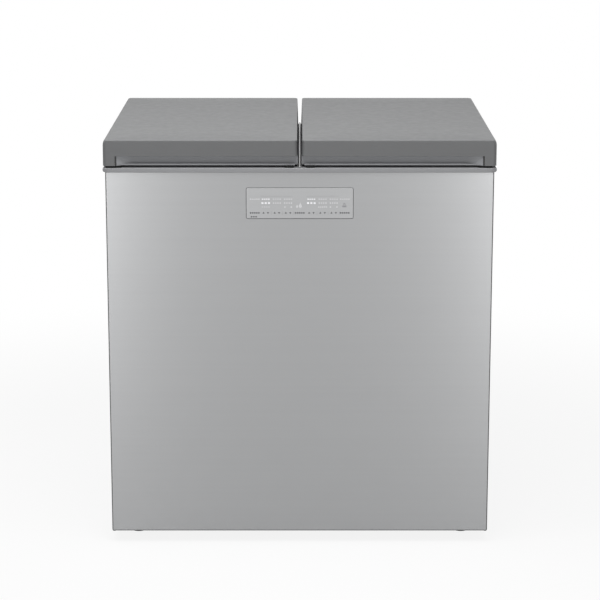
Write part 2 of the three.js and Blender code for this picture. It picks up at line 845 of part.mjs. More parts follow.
// One bracket for the hinges at the given centres.
function hingeBracket(centres) {
  const plateY = cabinet.back + GAP;
  const reach = hinge.ear + 12;
  const x0 = Math.min(...centres) - reach;
  const x1 = Math.max(...centres) + reach;
  const plate = extrudeY(roundedRect(x0, x1, 845, cabinet.top, 6), plateY, plateY + hinge.earSheet);
  const pieces = [plate];
  const holes = [];
  for (const centre of centres) {
    const hand = Math.sign(centre);
    for (const side of [-1, 1]) {
      const x = centre + side * hinge.ear;
      pieces.push(extrudeX(earOutline(), x - hinge.earSheet / 2, x + hinge.earSheet / 2, 3));
      holes.push(rodX(x - 5, x + 5, hinge.y, hinge.z, hinge.pin + GAP, 12));
    }
    const legX = springLegX(centre);
    const behind = hinge.y - spring.radius + spring.wire + 0.4;
    const [f0, f1] = [legX - 4 * hand, centre + hinge.ear * hand].sort((a, b) => a - b);
    pieces.push(box(f0, f1, behind, behind + 2.6, 903, 911));
  }
  for (const x of [x0 + 14, x1 - 14]) {
    holes.push(rodY(x, 858, plateY - 1, plateY + 5, 3, 8));
  }
  return cut(join(...pieces), ...holes);
}

function springLegX(centre) {
  return centre + Math.sign(centre) * (spring.start + spring.turns * spring.pitch);
}

function hingePin(centre) {
  const hand = Math.sign(centre);
  const half = hinge.ear + 4;
  const shank = rodX(centre - half, centre + half, hinge.y, hinge.z, hinge.pin, 12);
  const edges = [centre + hand * (half - 1.9), centre + hand * (half + 1.5)].sort((a, b) => a - b);
  return join(shank, rodX(edges[0], edges[1], hinge.y, hinge.z, 6.5, 12));
}

// Knuckle, leaf under the lid and the tab that the spring's upper leg pushes back.
function hingeArm(centre) {
  const hand = Math.sign(centre);
  const span = (a, b) => [centre + hand * a, centre + hand * b].sort((p, q) => p - q);
  const [k0, k1] = span(-22, -2);
  const [l0, l1] = span(-22, 20);
  const [t0, t1] = span(-12, spring.start + 3);
  const top = lid.bottom - GAP;
  const knuckle = rodX(k0, k1, hinge.y, hinge.z, hinge.knuckle, 16);
  const neck = box(k0, k1, 346, hinge.y, top - 3, top);
  const leaf = extrudeZ(roundedRect(l0, l1, 300, 350, 6), top - 3, top);
  const face = hinge.y - spring.radius + spring.wire + 0.4;
  const tab = box(t0, t1, face, face + 2.4, hinge.z + 9, hinge.z + spring.legUp + 2);
  const [r0, r1] = span(-12, -2);
  const root = box(r0, r1, face, face + 2.4, hinge.z + 2, hinge.z + 10);
  const bore = rodX(k0 - 1, k1 + 1, hinge.y, hinge.z, hinge.pin + GAP, 12);
  const screws = [312, 334].map((y) => rodZ(centre, y, top - 5, top + 1, 2.6, 6));
  return cut(join(knuckle, neck, leaf, tab, root), bore, ...screws);
}

// Unbroken wire: upper leg, turns round the pin, lower leg.
function springStations(centre) {
  const hand = Math.sign(centre);
  const perTurn = 8;
  const legY = hinge.y - spring.radius;
  const stations = [new THREE.Vector3(centre + hand * spring.start, legY, hinge.z + spring.legUp)];
  for (let i = 0; i <= spring.turns * perTurn; i += 1) {
    const angle = Math.PI + (2 * Math.PI * i) / perTurn;
    const x = centre + hand * (spring.start + (spring.pitch * i) / perTurn);
    const y = hinge.y + spring.radius * Math.cos(angle);
    stations.push(new THREE.Vector3(x, y, hinge.z + spring.radius * Math.sin(angle)));
  }
  stations.push(new THREE.Vector3(springLegX(centre), legY, hinge.z - spring.legDown));
  return stations;
}

// Least distance between wire surfaces of different turns, measured at the stations.
function leastGap(stations) {
  let least = Infinity;
  for (let i = 0; i < stations.length; i += 1) {
    for (let j = i + 4; j < stations.length; j += 1) {
      least = Math.min(least, stations[i].distanceTo(stations[j]) - 2 * spring.wire);
    }
  }
  return least;
}

// ---------------------------------------------------------------- lids
// Inset of the outer side at height z: upright below, rounded as a quarter of an ellipse above.
function sideInset(z) {
  const climb = Math.min(Math.max((z - lid.edge) / lidSide.height + 1, 0), 1);
  return lidSide.inset * (1 - Math.sqrt(1 - climb ** 2));
}

// Outer form of a lid: drafted front, rounded shoulder, low crown; shrink gives its inside.
function lidForm(shrink, low) {
  const section = (inset, outerInset, z) =>
    ring(
      lid.inner + shrink + inset,
      lid.outer - shrink - outerInset,
      lid.front + shrink + inset,
      lid.back - shrink - inset,
      Math.max(lid.corner - shrink, 4),
      z - shrink,
    );
  const { shoulder, draft, edge } = lid;
  const rings = [ring(...lidFoot(shrink), low)];
  const wallTop = edge - shoulder;
  for (const z of [edge - lidSide.height, edge - lidSide.height * 0.45]) {
    rings.push(section((draft * (z - lid.bottom)) / (wallTop - lid.bottom), sideInset(z), z));
  }
  for (const part of [0, 1, 2]) {
    const angle = (Math.PI / 4) * part;
    const z = wallTop + shoulder * Math.sin(angle);
    rings.push(section(draft + shoulder * (1 - Math.cos(angle)), sideInset(z), z));
  }
  const crown = HEIGHT - edge;
  for (const inset of [40, 90]) {
    rings.push(section(inset, lidSide.inset + inset, edge + crown * (1 - (1 - inset / 120) ** 2)));
  }
  return loft(rings, HEIGHT - shrink);
}

function lidFoot(shrink) {
  return [
    lid.inner + shrink,
    lid.outer - shrink,
    lid.front + shrink,
    lid.back - shrink,
    Math.max(lid.corner - shrink, 4),
  ];
}

// Room round each hinge, open to the rear.
function hingeRooms() {
  const { halfWidth, front, top } = hingeRoom;
  return hinge.centres.map((x) => box(x - halfWidth, x + halfWidth, front, DEPTH, 900, top));
}

// Walls that close the rooms towards the foam, once the rooms are cut out of them.
function hingePockets() {
  const reach = hingeRoom.halfWidth + MOULDING;
  const front = hingeRoom.front - MOULDING;
  const low = lid.bottom + 2 + GAP;
  const top = hingeRoom.top + MOULDING;
  return hinge.centres.map((x) => box(x - reach, x + reach, front, lid.back - 2, low, top));
}

function lidCover() {
  const shell = cut(lidForm(0, lid.bottom), lidForm(MOULDING, lid.bottom - 10));
  const grip = box(-10, recess.end, -400, recess.wall + 3, 900, recess.top);
  return cut(join(shell, ...hingePockets()), grip, ...hingeRooms());
}

// Wall of the finger recess in plan, slanting forward at its outer end.
function recessLine(offset) {
  return [
    [lid.inner + 0.5, recess.wall + offset],
    [recess.facet + offset * 0.25, recess.wall + offset],
    [recess.end - GAP, lid.front + MOULDING + GAP + 1 + offset],
  ];
}

function lidHandle() {
  const low = lid.bottom;
  const face = recessLine(0);
  const back = recessLine(MOULDING);
  const outline = polygon([...face, ...back.reverse()]);
  const inner = lid.inner + MOULDING + 4.5;
  const high = recess.top + GAP + MOULDING;
  const clear = box(0, inner, -DEPTH, 0, recess.top - GAP, high + 1);
  const wall = cut(extrudeZ(outline, low, high), clear);
  const bandBack = lid.front + MOULDING + lid.draft + GAP;
  const ceiling = polygon([
    [inner, bandBack],
    [recess.end - 2, bandBack],
    ...recessLine(1).slice(1).reverse(),
    [inner, recess.wall + 1],
  ]);
  const lip = polygon([
    [inner, recess.lip],
    [recess.end - 16, recess.lip],
    [recess.facet + 2, recess.wall + 1],
    [inner, recess.wall + 1],
  ]);
  const rolled = box(inner, recess.end - 17, recess.lip, recess.lip + MOULDING, low, low + 4);
  return join(
    wall,
    extrudeZ(ceiling, recess.top + GAP, high),
    extrudeZ(lip, low, low + MOULDING),
    rolled,
  );
}

function plugOutline(shrink) {
  return roundedRect(
    plug.inner + shrink,
    plug.outer - shrink,
    plug.front + shrink,
    plug.back - shrink,
    plug.corner - shrink,
  );
}

function lidLiner() {
  const inner = lid.inner + MOULDING + GAP;
  const outer = lid.outer - MOULDING - GAP;
  const step = recess.end + GAP;
  const [facet, end] = recessLine(MOULDING + 2 * GAP).slice(1);
  const front = lid.front + MOULDING + GAP;
  const back = lid.back - MOULDING - GAP;
  const flange = polygon([
    [inner, facet[1]],
    facet,
    end,
    [step, end[1]],
    [step, front],
    [outer, front],
    [outer, back],
    [inner, back],
  ]);
  const plate = extrudeZ(flange, lid.bottom, lid.bottom + 2);
  const soft = 6;
  const body = softened(plugOutline(soft), plug.bottom, lid.bottom + soft + 1, soft, 2);
  const lowered = common(body, box(0, WIDTH, -DEPTH, DEPTH, 0, lid.bottom + 2));
  const hollow = extrudeZ(plugOutline(2.5), plug.bottom + 3, lid.bottom + 3);
  const edge = MOULDING + 2 * GAP;
  const [x0, x1] = [lid.inner + edge, lid.outer - edge - 0.5];
  const outline = roundedRect(x0, x1, lid.front + edge, lid.back - edge, 7);
  const outside = extrudeZ(outline, plug.bottom - 1, lid.bottom + 3);
  return common(cut(join(plate, lowered), hollow, ...hingeRooms()), outside);
}

function lidFoam() {
  const inside = lidForm(MOULDING + 2 * GAP, lid.bottom - 40);
  const behindGrip = recess.wall + MOULDING + 4;
  const behindRooms = hingeRoom.front - MOULDING - GAP;
  const upper = box(0, WIDTH, behindGrip, behindRooms, lid.bottom + 2 + GAP, HEIGHT);
  const front = box(0, WIDTH, -DEPTH, 0, recess.top + MOULDING + 2 * GAP + 1, HEIGHT);
  const lower = extrudeZ(plugOutline(2.5 + GAP), plug.bottom + 3 + GAP, lid.bottom + 20);
  return join(common(inside, join(upper, front)), lower);
}

function lidGasket() {
  const reach = 6;
  const inside = {
    x0: tub.inner - reach,
    x1: tub.outer + reach,
    y0: tub.front - reach,
    y1: tub.back + reach,
  };
  const bead = 1.2;
  const grow = seal.width - bead;
  const outline = roundedRect(
    inside.x0 - grow,
    inside.x1 + grow,
    inside.y0 - grow,
    inside.y1 + grow,
    seal.corner + grow,
  );
  const hole = roundedRect(
    inside.x0 - bead,
    inside.x1 + bead,
    inside.y0 - bead,
    inside.y1 + bead,
    seal.corner + bead,
  );
  outline.holes.push(new THREE.Path(hole.getPoints(2)));
  return softened(outline, seal.low, seal.high, bead, 1);
}

// ---------------------------------------------------------------- finishes
const finishes = {
  brushedSteel: [0xc2c4c4, 0.38, 0.9],
  paintedSteel: [0xb4b6b6, 0.55, 0.3],
  galvanised: [0x9da1a3, 0.5, 0.8],
  lidGrey: [0xa0a2a3, 0.45, 0.0],
  handleGrey: [0x6c6e70, 0.5, 0.0],
  frameSilver: [0xb8babc, 0.35, 0.4],
  trimGloss: [0xc8cacc, 0.15, 0.6],
  tubGrey: [0xc9cccf, 0.4, 0.5],
  linerWhite: [0xe4e5e4, 0.45, 0.0],
  sealGrey: [0x86888a, 0.7, 0.0],
  foam: [0xd9c98e, 0.9, 0.0],
  copper: [0xb06a42, 0.4, 0.9],
  black: [0x1d1e20, 0.5, 0.1],
  smoked: [0xb4b6b8, 0.12, 0.0],
  board: [0x2f6b45, 0.6, 0.0],
  steel: [0x8d9092, 0.35, 0.9],
  rubber: [0x2a2b2c, 0.8, 0.0],
};

const root = new THREE.Group();

function bodyAt(x, y, z) {
  const group = new THREE.Group();
  group.position.set(x, y, z);
  root.add(group);
  return group;
}

// Geometry is given in the cabinet's frame and stored about its body's own origin.
function add(group, name, geometry, finish) {
  const [color, roughness, metalness] = finishes[finish];
  const { x, y, z } = group.position;
  const material = new THREE.MeshStandardMaterial({ color, roughness, metalness });
  const mesh = new THREE.Mesh(welded(geometry).translate(-x, -y, -z), material);
  mesh.name = name;
  group.add(mesh);
}

// ---------------------------------------------------------------- assembly
const hands = [['left', -1], ['right', 1]];
const forHand = (side, geometry) => (side < 0 ? mirrored(geometry) : geometry);

function addCabinet() {
  const body = bodyAt(0, 0, 0);
  add(body, 'front_panel', frontPanel(), 'brushedSteel');
  add(body, 'back_panel', backPanel(), 'paintedSteel');
  add(body, 'machine_cover', machineCover(), 'paintedSteel');
  add(body, 'cord_bushing', cordBushing(), 'black');
  add(body, 'base_pan', basePan(), 'galvanised');
  add(body, 'deck_panel', deckPanel(), 'galvanised');
  add(body, 'top_frame', topFrame(), 'frameSilver');
  add(body, 'centre_trim', centreTrim(), 'trimGloss');
  add(body, 'cabinet_foam', cabinetFoam(), 'foam');
  for (const [hand, side] of hands) {
    add(body, `side_panel_${hand}`, forHand(side, sidePanel()), 'paintedSteel');
    add(body, `inner_tub_${hand}`, forHand(side, innerTub()), 'tubGrey');
    add(body, `evaporator_${hand}`, forHand(side, evaporator()), 'copper');
  }
}

function addDisplay() {
  const body = bodyAt(0, cabinet.front, (display.bottom + display.top) / 2);
  add(body, 'display_window', displayWindow(), 'smoked');
  add(body, 'display_housing', displayHousing(), 'black');
  add(body, 'display_board', displayBoard(), 'board');
}

function addMachinery() {
  const body = bodyAt(compressor.x, compressor.y, pan.top);
  add(body, 'compressor', compressorUnit(), 'black');
  add(body, 'suction_pipe', suctionPipe(), 'copper');
  add(body, 'filter_drier', filterDrier(), 'copper');
  add(body, 'condenser', condenserCoil(), 'copper');
  add(body, 'control_box', controlBox(), 'linerWhite');
  const airway = bodyAt(fan.x, fan.y, fan.z);
  add(airway, 'fan_shroud', fanShroud(), 'black');
  add(airway, 'fan_motor', fanMotor(), 'steel');
  add(airway, 'fan_blade', fanBlade(), 'linerWhite');
}

function addFeetAndCasters() {
  for (const [hand, side] of hands) {
    const stand = bodyAt(side * foot.x, foot.y, 0);
    add(stand, `levelling_foot_${hand}`, levellingFoot().translate(side * foot.x, foot.y, 0), 'black');
    const roller = bodyAt(side * caster.x, caster.y, caster.wheel);
    const put = (name, geometry, finish) => {
      add(roller, `${name}_${hand}`, geometry.translate(side * caster.x, caster.y, 0), finish);
    };
    put('caster_fork', casterFork(), 'galvanised');
    put('caster_axle', casterAxle(), 'steel');
    put('caster_wheel', casterWheel(), 'rubber');
  }
}

const hingeOrder = [-hinge.centres[1], -hinge.centres[0], hinge.centres[0], hinge.centres[1]];

function addHinges() {
  const body = bodyAt(0, hinge.y, hinge.z);
  add(body, 'hinge_bracket_left', hingeBracket([hingeOrder[0]]), 'steel');
  add(body, 'hinge_bracket_centre', hingeBracket([hingeOrder[1], hingeOrder[2]]), 'steel');
  add(body, 'hinge_bracket_right', hingeBracket([hingeOrder[3]]), 'steel');
  let least = Infinity;
  hingeOrder.forEach((centre, index) => {
    const stations = springStations(centre);
    least = Math.min(least, leastGap(stations));
    add(body, `hinge_pin_${index + 1}`, hingePin(centre), 'steel');
    add(body, `hinge_spring_${index + 1}`, tube(stations, spring.wire, 5), 'steel');
  });
  console.log(`least gap between the turns of a hinge spring: ${least.toFixed(2)} mm`);
}

function addLids() {
  for (const [hand, side] of hands) {
    const body = bodyAt(0, hinge.y, hinge.z);
    add(body, `lid_cover_${hand}`, forHand(side, lidCover()), 'lidGrey');
    add(body, `lid_handle_${hand}`, forHand(side, lidHandle()), 'handleGrey');
    add(body, `lid_liner_${hand}`, forHand(side, lidLiner()), 'linerWhite');
    add(body, `lid_foam_${hand}`, forHand(side, lidFoam()), 'foam');
    add(body, `lid_gasket_${hand}`, forHand(side, lidGasket()), 'sealGrey');
    hingeOrder.forEach((centre, index) => {
      if (Math.sign(centre) === side) {
        add(body, `hinge_arm_${index + 1}`, hingeArm(centre), 'steel');
      }
    });
  }
}

addCabinet();
addDisplay();
addMachinery();
addFeetAndCasters();
addHinges();
addLids();

export default root;
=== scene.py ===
"""Two-lid chest kimchi refrigerator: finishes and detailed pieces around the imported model. Metres, +Z up."""
import json
import math

import bmesh
import bpy
from mathutils import Matrix, Vector


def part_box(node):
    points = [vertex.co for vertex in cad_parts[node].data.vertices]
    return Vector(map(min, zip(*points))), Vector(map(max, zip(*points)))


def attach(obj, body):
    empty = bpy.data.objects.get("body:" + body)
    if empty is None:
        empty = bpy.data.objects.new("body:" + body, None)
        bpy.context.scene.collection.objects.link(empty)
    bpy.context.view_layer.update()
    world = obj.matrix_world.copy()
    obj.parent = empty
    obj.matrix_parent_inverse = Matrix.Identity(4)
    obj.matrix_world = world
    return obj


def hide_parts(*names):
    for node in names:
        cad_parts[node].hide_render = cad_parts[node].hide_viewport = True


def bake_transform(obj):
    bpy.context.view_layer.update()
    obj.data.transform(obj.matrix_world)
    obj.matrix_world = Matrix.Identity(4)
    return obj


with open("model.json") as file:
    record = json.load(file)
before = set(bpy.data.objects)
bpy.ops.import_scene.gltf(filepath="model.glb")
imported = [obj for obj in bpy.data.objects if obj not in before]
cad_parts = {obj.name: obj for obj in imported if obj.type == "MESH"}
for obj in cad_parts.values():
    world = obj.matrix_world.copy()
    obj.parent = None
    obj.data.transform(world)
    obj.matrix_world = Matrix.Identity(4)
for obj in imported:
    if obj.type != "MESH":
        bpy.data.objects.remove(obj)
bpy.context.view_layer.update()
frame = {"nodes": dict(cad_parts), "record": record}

MM = 0.001
SLOTS = {part["node"]: part["material_slot"] for part in frame["record"]["subparts"]}
BODIES = {node: body for body, nodes in frame["record"]["behaviour"]["bodies"].items() for node in nodes}
HANDS = (("left", -1), ("right", 1))

bpy.context.scene.view_settings.view_transform = "Standard"

# ---------------------------------------------------------------- camera, light and floor
def make_camera():
    aside = 0.7 * MM
    distance = 5.335
    height = 1.75
    pitch = 12.978
    focal_length = 127.9
    data = bpy.data.cameras.new("camera")
    data.sensor_width = 36
    data.lens = focal_length
    camera = bpy.data.objects.new("camera", data)
    camera.location = (aside, -distance, height)
    camera.rotation_euler = (math.radians(90 - pitch), 0, 0)
    bpy.context.scene.collection.objects.link(camera)
    bpy.context.scene.camera = camera


def area_light(name, place, aim, width, height, power):
    data = bpy.data.lights.new(name, "AREA")
    data.shape = "RECTANGLE"
    data.size = width
    data.size_y = height
    data.energy = power
    lamp = bpy.data.objects.new(name, data)
    lamp.location = place
    lamp.rotation_euler = (Vector(aim) - Vector(place)).to_track_quat("-Z", "Y").to_euler()
    bpy.context.scene.collection.objects.link(lamp)


def make_lamps():
    """A broad lamp over the lids and an upright strip to each side in front of the cabinet."""
    area_light("key_above", (-0.25, -0.8, 2.6), (0, -0.2, 0.9), 2.6, 1.6, 57)
    for hand, side in HANDS:
        area_light(f"side_{hand}", (0.98 * side, -3.4, 0.96), (0, -0.3, 0.55), 0.26, 1.7, 9.7)


def combined(tree, operation, one, other):
    """Result of a Math node between two sockets, or a socket and a number."""
    node = tree.nodes.new("ShaderNodeMath")
    node.operation = operation
    for socket, value in zip(node.inputs, (one, other)):
        if isinstance(value, (int, float)):
            socket.default_value = value
        else:
            tree.links.new(value, socket)
    return node.outputs[0]


def ray_kinds(tree):
    """Factors that are 1 for camera rays and for glossy or transmission rays."""
    path = tree.nodes.new("ShaderNodeLightPath")
    glossy, through = path.outputs["Is Glossy Ray"], path.outputs["Is Transmission Ray"]
    return path.outputs["Is Camera Ray"], combined(tree, "MAXIMUM", glossy, through)


def make_world():
    ambient = 0.4
    world = bpy.data.worlds.new("studio")
    world.use_nodes = True
    bpy.context.scene.world = world
    tree = world.node_tree
    tree.nodes.clear()
    seen = tree.nodes.new("ShaderNodeBackground")
    seen.inputs["Color"].default_value = (1, 1, 1, 1)
    lighting = tree.nodes.new("ShaderNodeBackground")
    lighting.inputs["Color"].default_value = (1, 1, 1, 1)
    lighting.inputs["Strength"].default_value = ambient
    mix = tree.nodes.new("ShaderNodeMixShader")
    output = tree.nodes.new("ShaderNodeOutputWorld")
    tree.links.new(combined(tree, "MAXIMUM", *ray_kinds(tree)), mix.inputs["Fac"])
    tree.links.new(lighting.outputs[0], mix.inputs[1])
    tree.links.new(seen.outputs[0], mix.inputs[2])
    tree.links.new(mix.outputs[0], output.inputs["Surface"])


def make_floor():
    """Pale floor that turns white with the distance, for the camera and in what mirrors it."""
    reach = 14
    corner = 1
    fades = ((0.87, 1, 2.4), (0, 0.8, 2.4))
    form = Form()
    form.cap([form.ring(ring((-reach, reach, -reach, reach, corner), 0))])
    floor = form.build("floor")
    material = bpy.data.materials.new("pale_floor")
    material.use_nodes = True
    tree = material.node_tree
    shader = tree.nodes["Principled BSDF"]
    shader.inputs["Base Color"].default_value = (0.72, 0.72, 0.72, 1)
    shader.inputs["Roughness"].default_value = 0.9
    glow = tree.nodes.new("ShaderNodeEmission")
    mix = tree.nodes.new("ShaderNodeMixShader")
    away = tree.nodes.new("ShaderNodeVectorMath")
    away.operation = "LENGTH"
    tree.links.new(tree.nodes.new("ShaderNodeNewGeometry").outputs["Position"], away.inputs[0])
    shares = []
    for kind, (nearest, start, end) in zip(ray_kinds(tree), fades):
        fade = tree.nodes.new("ShaderNodeMapRange")
        fade.interpolation_type = "SMOOTHSTEP"
        fade.inputs["From Min"].default_value = start
        fade.inputs["From Max"].default_value = end
        fade.inputs["To Min"].default_value = nearest
        fade.inputs["To Max"].default_value = 1
        tree.links.new(away.outputs["Value"], fade.inputs["Value"])
        shares.append(combined(tree, "MULTIPLY", kind, fade.outputs[0]))
    tree.links.new(combined(tree, "MAXIMUM", *shares), mix.inputs["Fac"])
    tree.links.new(shader.outputs[0], mix.inputs[1])
    tree.links.new(glow.outputs[0], mix.inputs[2])
    tree.links.new(mix.outputs[0], tree.nodes["Material Output"].inputs["Surface"])
    floor.data.materials.append(material)


# ---------------------------------------------------------------- mesh forms
def ring(rect, z, steps=8):
    """Points of a rounded rectangle (x0, x1, y0, y1, radius) at one height."""
    x0, x1, y0, y1, radius = rect
    corners = (
        (x1 - radius, y0 + radius, -90),
        (x1 - radius, y1 - radius, 0),
        (x0 + radius, y1 - radius, 90),
        (x0 + radius, y0 + radius, 180),
    )
    points = []
    for cx, cy, start in corners:
        for i in range(steps + 1):
            angle = math.radians(start + 90 * i / steps)
            points.append(Vector((cx + radius * math.cos(angle), cy + radius * math.sin(angle), z)))
    return points


def inset(rect, amount):
    x0, x1, y0, y1, radius = rect
    return (x0 + amount, x1 - amount, y0 + amount, y1 - amount, max(radius - amount, 0.4 * MM))


class Form:
    """A mesh in the making: rings of vertices, skins between them and caps over them."""

    def __init__(self):
        self.mesh = bmesh.new()

    def ring(self, points):
        return [self.mesh.verts.new(point) for point in points]

    def skin(self, one, two):
        for i in range(len(one)):
            j = (i + 1) % len(one)
            self.mesh.faces.new((one[i], one[j], two[j], two[i]))

    def cap(self, loops):
        edges = []
        for loop in loops:
            for i, vertex in enumerate(loop):
                pair = (vertex, loop[(i + 1) % len(loop)])
                edges.append(self.mesh.edges.get(pair) or self.mesh.edges.new(pair))
        bmesh.ops.triangle_fill(self.mesh, use_beauty=True, use_dissolve=False, edges=edges)

    def pole(self, loop, point):
        tip = self.mesh.verts.new(point)
        for i, vertex in enumerate(loop):
            self.mesh.faces.new((vertex, loop[(i + 1) % len(loop)], tip))

    def build(self, name, sharp=32):
        bmesh.ops.remove_doubles(self.mesh, verts=self.mesh.verts, dist=1e-6)
        bmesh.ops.recalc_face_normals(self.mesh, faces=self.mesh.faces)
        data = bpy.data.meshes.new(name)
        self.mesh.to_mesh(data)
        self.mesh.free()
        data.shade_smooth()
        data.set_sharp_from_angle(angle=math.radians(sharp))
        piece = bpy.data.objects.new(name, data)
        bpy.context.scene.collection.objects.link(piece)
        return piece


def mirrored(points, side):
    return [Vector((point.x * side, point.y, point.z)) for point in points]


def weighted(piece):
    normals = piece.modifiers.new("normals", "WEIGHTED_NORMAL")
    normals.keep_sharp = True
    return piece


def bevelled(piece, width, angle):
    bevel = piece.modifiers.new("edges", "BEVEL")
    bevel.width = width
    bevel.segments = 2
    bevel.limit_method = "ANGLE"
    bevel.angle_limit = math.radians(angle)
    bevel.harden_normals = False
    return weighted(piece)


def turned(name, profile, axis, place, segments=48):
    """Piece turned about an axis (X, Y or Z) from (radius, height) points."""
    turn = {
        "X": Matrix.Rotation(math.radians(90), 4, "Y"),
        "Y": Matrix.Rotation(math.radians(-90), 4, "X"),
        "Z": Matrix.Identity(4),
    }[axis]
    form = Form()
    last = None
    for radius, height in profile:
        points = []
        for i in range(segments):
            angle = 2 * math.pi * i / segments
            point = Vector((radius * math.cos(angle), radius * math.sin(angle), height))
            points.append(turn @ point + Vector(place))
        current = form.ring(points)
        if last:
            form.skin(last, current)
        last = current
    return weighted(form.build(name))


def refined(node, width):
    """Copy of a CAD node's mesh with merged faces and softened edges."""
    source = frame["nodes"][node]
    work = bmesh.new()
    work.from_mesh(source.data)
    bmesh.ops.remove_doubles(work, verts=work.verts, dist=2e-6)
    bmesh.ops.dissolve_limit(work, angle_limit=math.radians(0.6), verts=work.verts, edges=work.edges)
    data = bpy.data.meshes.new(node + "_piece")
    work.to_mesh(data)
    work.free()
    data.shade_smooth()
    data.set_sharp_from_angle(angle=math.radians(40))
    piece = bpy.data.objects.new(node + "_piece", data)
    bpy.context.scene.collection.objects.link(piece)
    return bevelled(piece, width, 30)


def stand_for(piece, node, material):
    piece.data.materials.clear()
    piece.data.materials.append(material)
    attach(piece, BODIES[node])
    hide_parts(node)
    return piece


def add_trim(piece, body, material):
    piece.data.materials.clear()
    piece.data.materials.append(material)
    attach(piece, body)
    return piece


def carve(piece, boxes, operation="DIFFERENCE"):
    """Cuts boxes ((x0, x1), (y0, y1), (z0, z1)) out of a piece, or joins them to it."""
    for (x0, x1), (y0, y1), (z0, z1) in boxes:
        form = Form()
        low = form.ring([Vector((x, y, z0)) for x, y in ((x0, y0), (x1, y0), (x1, y1), (x0, y1))])
        high = form.ring([Vector((x, y, z1)) for x, y in ((x0, y0), (x1, y0), (x1, y1), (x0, y1))])
        form.skin(low, high)
        form.cap([low])
        form.cap([high])
        tool = form.build("tool")
        modifier = piece.modifiers.new("cut", "BOOLEAN")
        modifier.operation = operation
        modifier.solver = "EXACT"
        modifier.object = tool
        apply_modifiers(piece)
        bpy.data.objects.remove(tool)
    return piece


def apply_modifiers(piece):
    graph = bpy.context.evaluated_depsgraph_get()
    baked = bpy.data.meshes.new_from_object(piece.evaluated_get(graph))
    piece.modifiers.clear()
    piece.data = baked


# ---------------------------------------------------------------- materials
class Surface:
    """A procedural material: the shader's own sockets plus colour, roughness and bump from textures."""

    def __init__(self, name, colour, roughness, metallic=0.0, **sockets):
        self.material = bpy.data.materials.new(name)
        self.material.use_nodes = True
        self.tree = self.material.node_tree
        self.shader = self.tree.nodes["Principled BSDF"]
        self.shader.inputs["Base Color"].default_value = (*colour, 1)
        self.shader.inputs["Roughness"].default_value = roughness
        self.shader.inputs["Metallic"].default_value = metallic
        for socket, value in sockets.items():
            self.shader.inputs[socket.replace("_", " ")].default_value = value
        self.colour = colour
        self.height = None
        self.place = self.tree.nodes.new("ShaderNodeTexCoord").outputs["Object"]

    def mapped(self, scale):
        node = self.tree.nodes.new("ShaderNodeMapping")
        node.inputs["Scale"].default_value = scale
        self.tree.links.new(self.place, node.inputs["Vector"])
        return node.outputs["Vector"]

    def noise(self, scale, detail=3.0):
        node = self.tree.nodes.new("ShaderNodeTexNoise")
        node.inputs["Scale"].default_value = 1
        node.inputs["Detail"].default_value = detail
        self.tree.links.new(self.mapped(scale), node.inputs["Vector"])
        return node.outputs["Fac"]

    def cells(self, scale):
        node = self.tree.nodes.new("ShaderNodeTexVoronoi")
        node.inputs["Scale"].default_value = 1
        self.tree.links.new(self.mapped(scale), node.inputs["Vector"])
        return node

    def ranged(self, value, low, high, start=0.3, end=0.7):
        node = self.tree.nodes.new("ShaderNodeMapRange")
        node.inputs["From Min"].default_value = start
        node.inputs["From Max"].default_value = end
        node.inputs["To Min"].default_value = low
        node.inputs["To Max"].default_value = high
        self.tree.links.new(value, node.inputs["Value"])
        return node.outputs["Result"]

    def rough(self, value, low, high):
        self.tree.links.new(self.ranged(value, low, high), self.shader.inputs["Roughness"])

    def tinted(self, value, other):
        """Base colour runs from the surface's own to another with the value."""
        node = self.tree.nodes.new("ShaderNodeMix")
        node.data_type = "RGBA"
        node.inputs["A"].default_value = (*self.colour, 1)
        node.inputs["B"].default_value = (*other, 1)
        self.tree.links.new(value, node.inputs["Factor"])
        self.tree.links.new(node.outputs["Result"], self.shader.inputs["Base Color"])

    def overlaid(self, value, other):
        """A further colour, by the value, over what the base colour is already."""
        node = self.tree.nodes.new("ShaderNodeMix")
        node.data_type = "RGBA"
        self.tree.links.new(self.shader.inputs["Base Color"].links[0].from_socket, node.inputs["A"])
        node.inputs["B"].default_value = (*other, 1)
        self.tree.links.new(value, node.inputs["Factor"])
        self.tree.links.new(node.outputs["Result"], self.shader.inputs["Base Color"])

    def bumped(self, value, distance, strength=1.0):
        node = self.tree.nodes.new("ShaderNodeBump")
        node.inputs["Strength"].default_value = strength
        node.inputs["Distance"].default_value = distance
        self.tree.links.new(value, node.inputs["Height"])
        if self.height:
            self.tree.links.new(self.height, node.inputs["Normal"])
        self.height = node.outputs["Normal"]
        self.tree.links.new(self.height, self.shader.inputs["Normal"])


def even(scale):
    return (scale, scale, scale)


def shade(colour, factor):
    return tuple(channel * factor for channel in colour)


def brushed(name, colour, roughness, **sockets):
    """Metal with fine lines along X, so that highlights draw out up and down."""
    surface = Surface(name, colour, roughness, 1.0, **sockets)
    lines = surface.noise((9, 1500, 1500), 2)
    streaks = surface.noise((0.8, 160, 160), 2)
    surface.rough(lines, roughness - 0.04, roughness + 0.04)
    surface.tinted(surface.ranged(streaks, 0, 1), shade(colour, 0.985))
    surface.bumped(lines, 0.01 * MM, 0.25)
    across = surface.tree.nodes.new("ShaderNodeTangent")
    across.direction_type = "RADIAL"
    across.axis = "X"
    surface.tree.links.new(across.outputs[0], surface.shader.inputs["Tangent"])
    return surface


